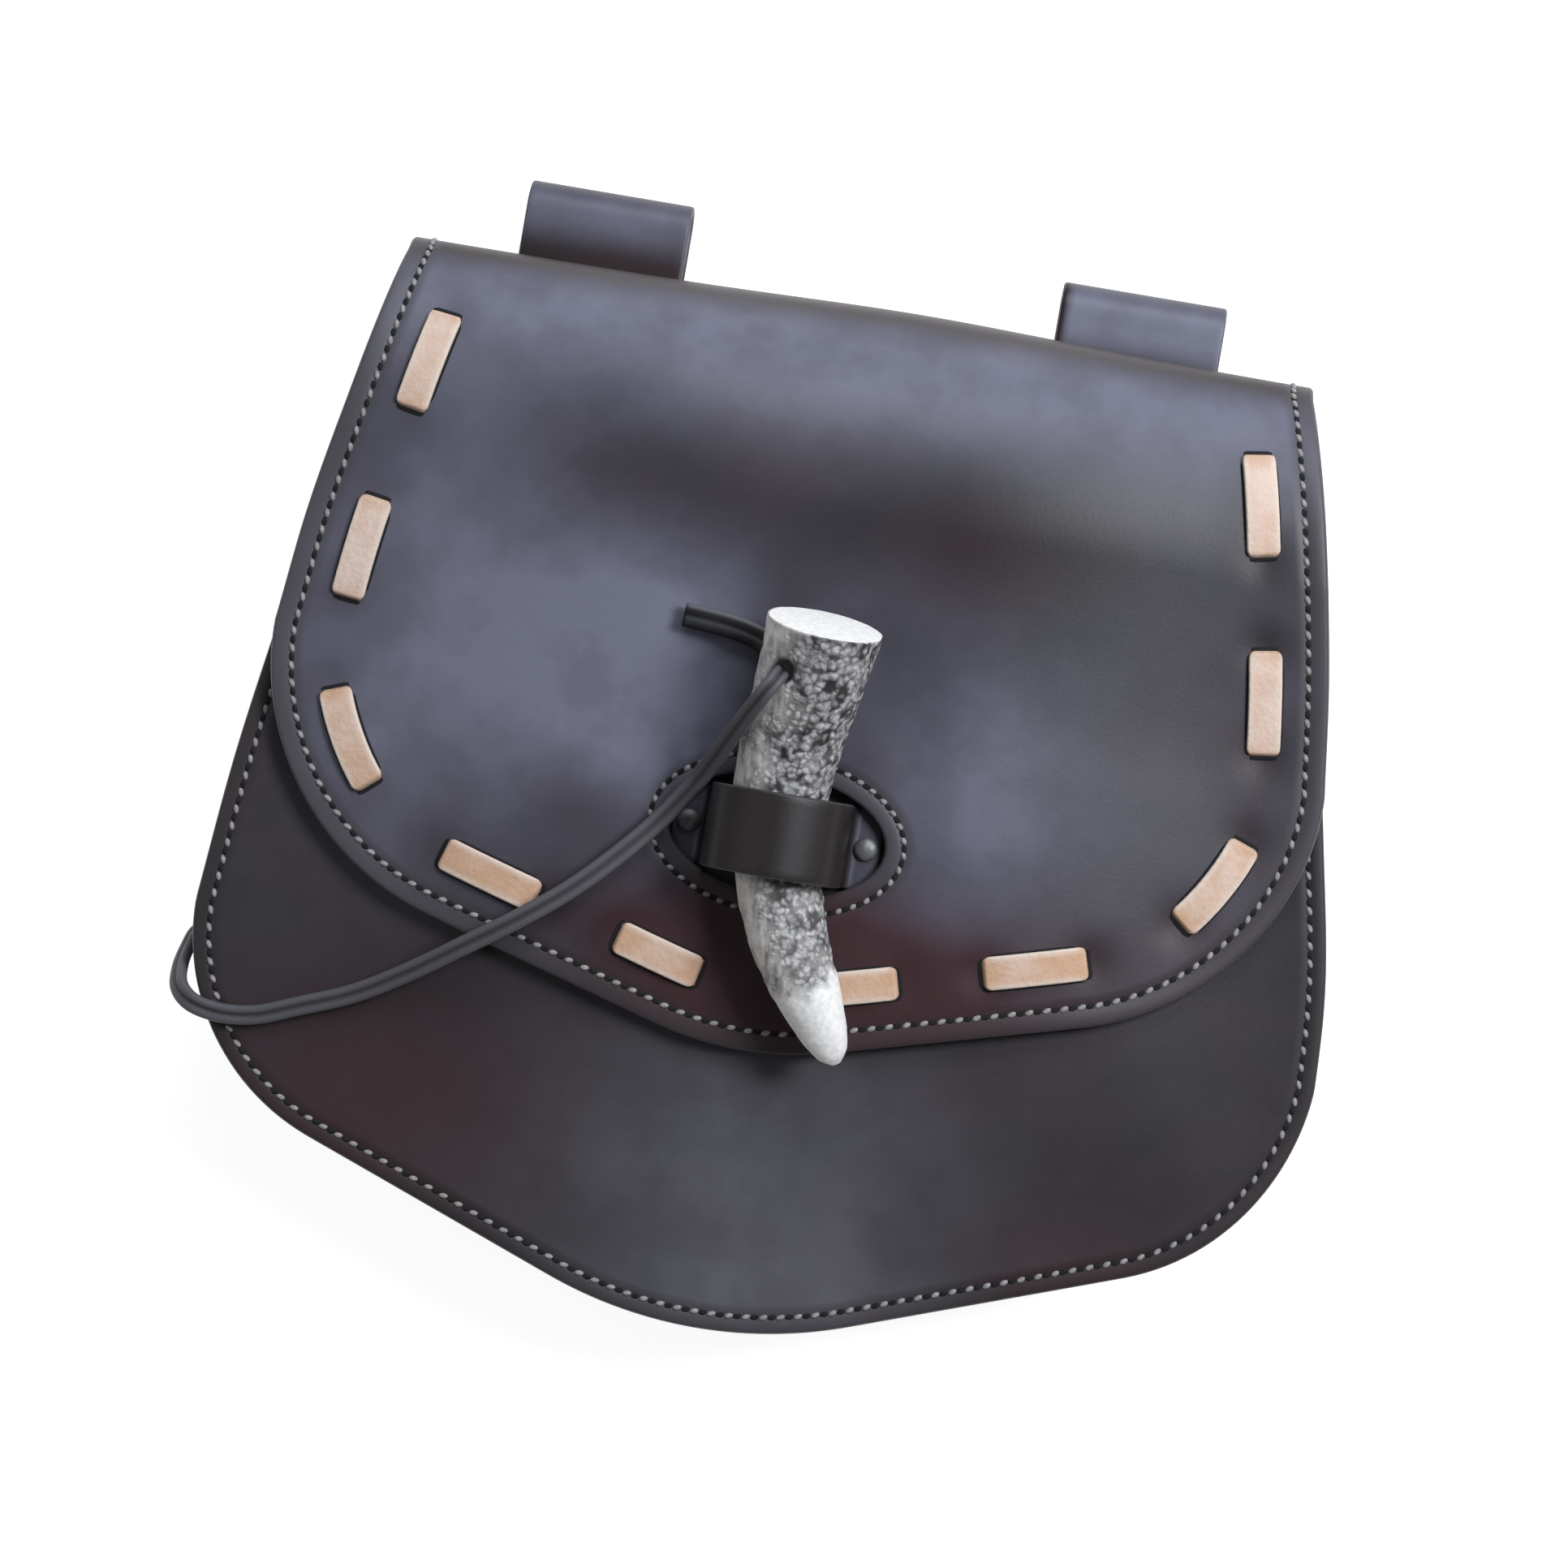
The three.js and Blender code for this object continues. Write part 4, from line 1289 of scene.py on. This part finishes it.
class POUCH_OT_belt_loops(bpy.types.Operator):
    """Folds the two belt loops behind the top edge"""

    bl_idname = "pouch.belt_loops"
    bl_label = "Belt loops"

    corner = 0.0007
    edge = {"wear": 0.8, "band": 0.0006, "dark_from": 0.0022, "dark_to": 0.0012}
    # Painted shade round a loop's fold: how much painted sheen it takes away and over what band
    fold = {"shade": 0.6, "band": 0.0035}
    foot_band = 0.010
    turns = 16
    count = 110

    def execute(self, context):
        finish = panel_leather(context.scene.pouch_leather)
        half = LOOP["width"] / 2
        section = strap_section(LOOP["width"], STRAP, self.corner, flat_steps=32)
        worn = edge_wear(section, half, self.edge["band"], self.edge["wear"])
        dark_band = (half - self.edge["dark_from"], half - self.edge["dark_to"])
        for name, across, further, pale, foot, dark_edge in LOOPS:
            line, top = self.line(across, further)
            edge = [1.0 - dark_edge * smoothstep(aside, *dark_band) for aside, _ in section]
            # Painted sheen on the loop, with painted shade below its foot and round its fold
            shades = [self.painted_sheen(point.y, top, TOP_Y + foot) for point in line]
            bm = skin_over(
                strap_rings(line, carried_frames(line, UP, 0), section),
                wear=lambda row, column: worn[column] * edge[column],
                sheen=lambda row, column: pale * edge[column] * shades[row],
            )
            finish_piece(bm, f"belt_loop_{name}_leather", finish, "dark_leather", f"belt_loop_{name}")
        return {"FINISHED"}

    def line(self, across, further):
        """Middle line of a loop, up behind the back, round its fold and down again, and the fold's top."""
        middle = (LIFT - FIT) / 2
        bend = middle - STRAP / 2
        fold = middle - LOOP["rise"] - further
        run = [spot(across, down, back_lift(down) - FIT - STRAP / 2) for down in (*LOOP["run"], fold)]
        line = spline(run, steps=8)
        for step in range(1, self.turns + 1):
            angle = math.pi / 2 + math.pi * step / self.turns
            line.append(spot(across, fold + bend * math.cos(angle), middle + bend * math.sin(angle)))
        line.append(spot(across, LOOP["run"][0], STRAP / 2))
        return evenly(line, self.count), TOP_Y - fold + bend

    def painted_sheen(self, level, top, foot):
        """Painted sheen along a loop: none below its foot, which paints shade there, and less round its
        fold, which paints the fold's shade.
        """
        rolled = 1.0 - self.fold["shade"] * smoothstep(level, top - self.fold["band"], top)
        return rolled * smoothstep(level, foot - self.foot_band, foot)


class POUCH_OT_flap_lace(bpy.types.Operator):
    """Weaves the pale lace in and out of the flap"""

    bl_idname = "pouch.flap_lace"
    bl_label = "Flap lace"

    over = 0.00085
    under = -0.0033
    dive = 0.0009
    corner = 0.0019
    tail = 0.008
    step = 0.0004
    round_edge = 0.0005
    pale_edge = (0.0010, 0.0002)
    pale_from_end = 0.003
    tans = {"all": 0.15, "low": 0.6, "end": 0.5, "low_band": (0.07, 0.15), "end_band": 0.005}
    # Painted shade bed under each stitch: its reach past the ends and sides, corners, lift, thickness and
    # rounding
    bed = {
        "end": 0.0006, "side": 0.00045, "corner": 0.0016,
        "lift": 0.0001, "thickness": 0.0003, "round_edge": 0.0001,
    }

    def execute(self, context):
        trim = context.scene.pouch_trim
        half = STITCH["width"] / 2
        section = strap_section(STITCH["width"], LACE, self.round_edge, flat_steps=6)
        pale_from, pale_to = [half - inset for inset in self.pale_edge]
        edge = [smoothstep(abs(aside), pale_from, pale_to) for aside, _ in section]
        first, last = STITCHES[0], STITCHES[-1]
        places = self.places(first[0] - first[1] - self.tail, last[0] + last[1] + self.tail)
        rings = []
        inside = []
        for along in places:
            point, normal, forward = lace_frame(along)
            inside.append(max(length - abs(along - centre) for centre, length in STITCHES))
            height = lerp(self.under, self.over, smoothstep(inside[-1], -self.dive, self.dive))
            aside = normal.cross(forward) * self.roundness(inside[-1], half, self.corner)
            middle = point + normal * height
            rings.append([middle + aside * x + normal * y for x, y in section])
        bm = skin_over(
            rings,
            wear=lambda row, column: edge[column] * smoothstep(inside[row], 0.0, self.pale_from_end),
            brown=lambda row, column: self.tan(places[row], inside[row]),
        )
        finish = shared_material("lace_finish", tan_lace, trim.lace, trim.lace_edge, trim.lace_stain)
        finish_piece(bm, "flap_lacing", finish, "lace_leather", "flap_lace")
        self.shade_beds(context)
        return {"FINISHED"}

    def places(self, first, last):
        count = round((last - first) / self.step)
        return [lerp(first, last, i / count) for i in range(count + 1)]

    def roundness(self, inside, half, corner):
        """Share of the full width that a stitch with rounded corners has this far inside its end."""
        if inside < 0.0 or inside > corner:
            return 1.0
        return 1.0 - corner / half * (1.0 - math.sqrt(1.0 - (1.0 - inside / corner) ** 2))

    def tan(self, along, inside):
        """How tan the lace is: more at the flap's bottom edge and at the ends of a stitch."""
        low = 1.0 - smoothstep(abs(along), *self.tans["low_band"])
        end = 1.0 - smoothstep(inside, 0.0, self.tans["end_band"])
        return clamp(self.tans["all"] + self.tans["low"] * low + self.tans["end"] * end)

    def shade_beds(self, context):
        """Dark sheet under each stitch, a painted shade: it shows as the shadow line round the stitch and
        the dark slots at its ends.
        """
        half = STITCH["width"] / 2 + self.bed["side"]
        section = strap_section(2 * half, self.bed["thickness"], self.bed["round_edge"], flat_steps=6)
        bm = bmesh.new()
        for centre, length in STITCHES:
            reach = length + self.bed["end"]
            rings = []
            for along in self.places(centre - reach, centre + reach):
                point, normal, forward = lace_frame(along)
                inside = max(reach - abs(along - centre), 0.0)
                aside = normal.cross(forward) * self.roundness(inside, half, self.bed["corner"])
                rings.append([point + aside * x + normal * (self.bed["lift"] + y) for x, y in section])
            part = bpy.data.meshes.new("bed")
            skin = skin_over(rings)
            skin.to_mesh(part)
            skin.free()
            bm.from_mesh(part)
            bpy.data.meshes.remove(part)
        finish_piece(bm, "lace_beds", hole_finish(context.scene.pouch_thread), "dark_leather")


class POUCH_OT_keeper(bpy.types.Operator):
    """Bends the keeper strap through the window and rivets it down"""

    bl_idname = "pouch.keeper"
    bl_label = "Keeper strap and rivets"

    corner = 0.0006
    edge = {"wear": 0.5, "band": 0.0006}
    # Painted highlight on the keeper's feet, which face up to the light: its strength and where across it
    # begins
    foot = {"sheen": 0.35, "across": (0.0145, 0.0165)}
    head_rim = 0.0003
    head_foot = 0.97
    head_gap = 0.00005
    head_steps = 6

    def execute(self, context):
        base = front_top(0.0, WINDOW["down"]) + FIT
        right = [spot(across, WINDOW["down"], base + up) for across, up in KEEPER_LINE]
        left = [Vector((-point.x, point.y, point.z)) for point in right[:-1]]
        line = evenly(spline(left + right[::-1], steps=10), count=120)
        section = strap_section(KEEPER_WIDTH, STRAP, self.corner, flat_steps=12)
        worn = edge_wear(section, KEEPER_WIDTH / 2, self.edge["band"], self.edge["wear"])
        # Painted highlight on the keeper's feet
        feet_highlight = [self.foot["sheen"] * smoothstep(abs(point.x), *self.foot["across"]) for point in line]
        bm = skin_over(
            strap_rings(line, carried_frames(line, UP, 0), section),
            wear=lambda row, column: worn[column],
            sheen=lambda row, column: feet_highlight[row],
        )
        style = context.scene.pouch_leather
        colours = (style.strap, shade(style.strap, 1.6), style.sheen, style.worn)
        finish = shared_material("keeper_finish", leather, *colours, roughness=0.45, shine=0.4)
        finish_piece(bm, "keeper_leather", finish, "strap_leather", "keeper_strap")
        colours = (context.scene.pouch_trim.rivet, shade(context.scene.pouch_trim.rivet, 0.6))
        metal = shared_material(
            "rivet_finish", plain_finish, *colours, scale=700.0, roughness=0.5, metallic=0.6
        )
        for name, side in (("left", -1), ("right", 1)):
            bm = self.rivet(Vector((side * RIVET["across"], TOP_Y - WINDOW["down"], base)))
            finish_piece(bm, f"rivet_{name}_metal", metal, "rivet_metal", f"rivet_{name}")
        return {"FINISHED"}

    def rivet(self, place):
        """Turned rivet: a flat cap inside, a shank and a domed head."""
        radius, shank = RIVET["radius"], RIVET["shank"]
        foot = KEEPER_LINE[0][1] + STRAP / 2 + self.head_gap
        inside = -2 * FIT - LEATHER
        cap = inside - RIVET["cap"]
        rim = foot + self.head_rim
        profile = [(0.0, cap), (radius, cap), (radius, inside), (shank, inside)]
        profile += [(shank, foot), (radius * self.head_foot, foot), (radius, rim)]
        for step in range(1, self.head_steps + 1):
            angle = math.pi / 2 * step / self.head_steps
            height = (RIVET["height"] - self.head_rim) * math.sin(angle)
            profile.append((radius * math.cos(angle), rim + height))
        bm = bmesh.new()
        verts = [bm.verts.new(place + Vector((x, 0.0, z))) for x, z in profile]
        edges = [bm.edges.new(pair) for pair in zip(verts, verts[1:])]
        bmesh.ops.spin(
            bm, geom=verts + edges, cent=place, axis=UP, dvec=(0.0, 0.0, 0.0), angle=2 * math.pi,
            steps=32, use_merge=True, use_normal_flip=False, use_duplicate=False,
        )
        bmesh.ops.remove_doubles(bm, verts=bm.verts[:], dist=WELD)
        bmesh.ops.recalc_face_normals(bm, faces=bm.faces[:])
        return bm


class POUCH_OT_antler(bpy.types.Operator):
    """Shapes the antler toggle, with its bark, its sawn end and its smooth tip"""

    bl_idname = "pouch.antler"
    bl_label = "Antler toggle"

    around = 150
    along = 220
    end_scales = (0.0, 0.35, 0.7, 0.9, 0.97)
    saw_tilt = math.radians(-9.0)
    saw_skew = math.radians(2.5)
    saw_grow = 0.0009
    saw_reach = 0.12
    smooth_from = 0.655
    smooth_to = 0.70
    lump = {"scale": 330.0, "height": 0.00035, "smooth_height": 0.00008, "level": 0.4}
    smooth_paleness = 0.96
    hole_inner = 0.0022
    hole_depth = 0.0008
    lower_band = (0.42, 0.55)

    # Noise of the bark: (scale, seed), then how far the smooth tip's edge wanders and what the rubbing takes
    ragged = (260.0, Vector((3.0, 9.0, 1.0)))
    patch = (130.0, Vector((5.0, 2.0, 8.0)))
    streak = {"across": 900.0, "along": 260.0, "slant": 500.0, "seed": 4.0}
    ragged_reach = 0.03
    rub_left = {"upper": (0.001, 0.009), "lower": (-0.001, 0.006)}
    rub = {"left": 0.55, "patch": 0.5, "streak": 0.5, "spots": 0.35, "spot_band": (0.6, 1.0), "lower": 0.12}

    def execute(self, context):
        trim = context.scene.pouch_trim
        steps = 40
        centres = []
        for down, across, thick, clearance in ANTLER:
            centres.append(spot(across, down, flap_top(across, down) + FIT + clearance + thick / 2))
        line = spline(centres, steps)
        thicknesses = [(thick, index * 0.01) for index, (_, _, thick, _) in enumerate(ANTLER)]
        radii = [point.x / 2 for point in spline(thicknesses, steps)]
        rings = [self.ring(line, radii, 0.0, scale) for scale in self.end_scales]
        rings += [self.ring(line, radii, step / self.along) for step in range(self.along + 1)]
        rings.append([(line[-1], 1.0, 0.0, 0.0)] * self.around)
        bm = skin_over(
            [[point for point, _, _, _ in ring] for ring in rings],
            caps=False,
            wear=lambda row, column: rings[row][column][1],
            sheen=lambda row, column: rings[row][column][2],
            # Painted shade of the thong's hole
            brown=lambda row, column: rings[row][column][3],
        )
        finish = shared_material("antler_finish", antler_bark, trim.antler, trim.cream, trim.bark, trim.pit)
        finish_piece(bm, "antler_tip", finish, "antler", "antler_toggle")
        return {"FINISHED"}

    def ring(self, line, radii, share, scale=1.0):
        """(point, smoothness, rubbing, painted shade of the thong's hole) round the antler at a share of its
        length.
        """
        last = len(line) - 1
        index = min(int(share * last), last - 1)
        part = share * last - index
        centre = line[index].lerp(line[index + 1], part)
        radius = lerp(radii[index], radii[index + 1], part)
        forward = (line[min(index + 3, last)] - line[max(index - 3, 0)]).normalized()
        side = UP.cross(forward).normalized()
        out = forward.cross(side)
        sawn = 1.0 - smoothstep(share, 0.0, self.saw_reach)
        centre = centre - forward * (self.saw_grow * sawn)
        out = Matrix.Rotation(self.saw_tilt * sawn, 3, side) @ out
        side = Matrix.Rotation(self.saw_skew * sawn, 3, out) @ side
        ring = []
        for k in range(self.around):
            angle = 2 * math.pi * k / self.around
            direction = side * math.cos(angle) + out * math.sin(angle)
            point = centre + direction * radius
            smooth, rubbed, hole, relief = self.bark(point, centre, share)
            if scale < 1.0:
                smooth, hole, relief = 1.0, 0.0, 0.0
            ring.append((centre + direction * (radius * scale + relief), smooth, rubbed, hole))
        return ring

    def cloudy(self, point, scale, seed):
        return noise.noise(point * scale + seed)

    def bark(self, point, centre, share):
        """Smoothness, rubbing, painted shade of the thong hole and relief of the bark at a point."""
        lumps = noise.noise(point * self.lump["scale"])
        ragged = self.ragged_reach * self.cloudy(point, *self.ragged)
        smooth = smoothstep(share + ragged, self.smooth_from, self.smooth_to)
        patch = 0.5 + 0.9 * self.cloudy(point, *self.patch)
        lower = smoothstep(share, *self.lower_band)
        ends = zip(self.rub_left["upper"], self.rub_left["lower"])
        left = smoothstep(centre.x - point.x, *(lerp(upper, low, lower) for upper, low in ends))
        scale, rub = self.streak, self.rub
        along = point.y * scale["along"] + point.x * scale["slant"]
        streak = noise.noise(Vector((point.x * scale["across"], along, scale["seed"])))
        rubbed = left * (rub["left"] + rub["patch"] * patch + rub["streak"] * streak)
        rubbed = clamp(rubbed + rub["spots"] * smoothstep(patch, *rub["spot_band"]) + rub["lower"] * lower)
        hole_place = spot(ANTLER_HOLE["across"], ANTLER_HOLE["down"], point.z)
        hole = 1.0 - smoothstep((point - hole_place).length, self.hole_inner, ANTLER_HOLE["radius"])
        hole *= 1.0 if point.z > centre.z else 0.0
        bark_height = self.lump["height"] * (lumps - self.lump["level"])
        relief = lerp(bark_height, self.lump["smooth_height"] * lumps, smooth) - self.hole_depth * hole
        return self.smooth_paleness * smooth, rubbed, hole, relief


class POUCH_OT_seams(bpy.types.Operator):
    """Sews the thread seams of the back and flap, the front and the window"""

    bl_idname = "pouch.seams"
    bl_label = "Thread seams"

    window_pitch = 0.85
    window_steps = 120
    bit = {"length": 0.27, "lean": 0.35, "lift": 0.0001, "around": 8, "along": 5}
    # Each needle hole is a dark bead that paints the shade in it
    hole = {"size": (0.0010, 0.0008, 0.0002), "lean": 0.6, "lift": 0.00005, "around": 6, "along": 4}

    def execute(self, context):
        thread = context.scene.pouch_thread
        flap_line = self.closed(POUCH_OT_back_and_flap.outline(), thread.flap_inset)
        front_line = self.closed(POUCH_OT_front_panel.outline(), thread.front_inset)
        angles = [2 * math.pi * step / self.window_steps for step in range(self.window_steps + 1)]
        window_line = [window_edge(angle, thread.window_inset) for angle in angles]
        seams = (
            ("flap_seam", flap_line, wrapped, flap_relief, 1.0),
            ("front_seam", front_line, front_face, front_relief, 1.0),
            ("window_seam", window_line, wrapped, flap_relief, self.window_pitch),
        )
        colours = (thread.pale, shade(thread.pale, 0.7))
        yarn = shared_material("thread_finish", plain_finish, *colours, scale=1500.0, roughness=0.7)
        for name, line, surface, relief, pitch_share in seams:
            bits, holes = self.sew(line, surface, relief, thread.pitch * pitch_share, thread.radius)
            finish_piece(bits, f"{name}_thread", yarn, "dark_leather")
            finish_piece(holes, f"{name}_holes", hole_finish(thread), "dark_leather")
        return {"FINISHED"}

    def closed(self, outline, inset):
        line = inset_line(outline, inset)
        return line + line[:1]

    def sew(self, line, surface, relief, pitch, radius):
        """Thread bits and dark beads that paint the shade in the needle holes, turn about, along a line in
        the flat pattern.
        """
        reach = 0.0004
        count = 2 * round(line_length(line) / pitch)
        places = evenly(line, count + 1)
        beads = ([], [])
        kinds = ((self.bit, (self.bit["length"] * pitch, radius, radius)), (self.hole, self.hole["size"]))
        for i in range(count):
            flat = places[i]
            ahead = flat + (places[(i + 1) % count] - places[i - 1]).normalized() * reach
            forward = surface(*ahead) - surface(*flat)
            point, normal, forward = seam_frame(surface, relief, flat, forward)
            kind, size = kinds[i % 2]
            lean = (forward + normal.cross(forward) * kind["lean"]).normalized()
            point += normal * (kind["lift"] - GROOVE)
            beads[i % 2].append(bead_place(point, lean, normal.cross(lean), normal, size))
        return [strewn_beads(made, kind["around"], kind["along"]) for made, (kind, _) in zip(beads, kinds)]


class POUCH_PT_panel(bpy.types.Panel):
    """Lists the steps that build the pouch"""

    bl_idname = "POUCH_PT_panel"
    bl_label = "Belt pouch"
    bl_space_type = "VIEW_3D"
    bl_region_type = "UI"
    bl_category = "Pouch"

    def draw(self, context):
        for group in SETTINGS:
            settings = getattr(context.scene, group)
            for key in settings.__annotations__:
                self.layout.prop(settings, key)
        for operator in OPERATORS:
            self.layout.operator(operator.bl_idname)


SETTINGS = {
    "pouch_leather": PouchLeather,
    "pouch_thread": PouchThread,
    "pouch_trim": PouchTrim,
    "pouch_stage": PouchStage,
}
OPERATORS = (
    POUCH_OT_stage,
    POUCH_OT_thong,
    POUCH_OT_back_and_flap,
    POUCH_OT_front_panel,
    POUCH_OT_gusset,
    POUCH_OT_belt_loops,
    POUCH_OT_flap_lace,
    POUCH_OT_keeper,
    POUCH_OT_antler,
    POUCH_OT_seams,
)
CLASSES = (*SETTINGS.values(), *OPERATORS, POUCH_PT_panel)


def register():
    for item in CLASSES:
        bpy.utils.register_class(item)
    for key, group in SETTINGS.items():
        setattr(bpy.types.Scene, key, PointerProperty(type=group))


def unregister():
    for key in SETTINGS:
        delattr(bpy.types.Scene, key)
    for item in reversed(CLASSES):
        bpy.utils.unregister_class(item)


def main():
    register()
    for operator in OPERATORS:
        family, step = operator.bl_idname.split(".")
        getattr(getattr(bpy.ops, family), step)()


if __name__ == "__main__":
    main()
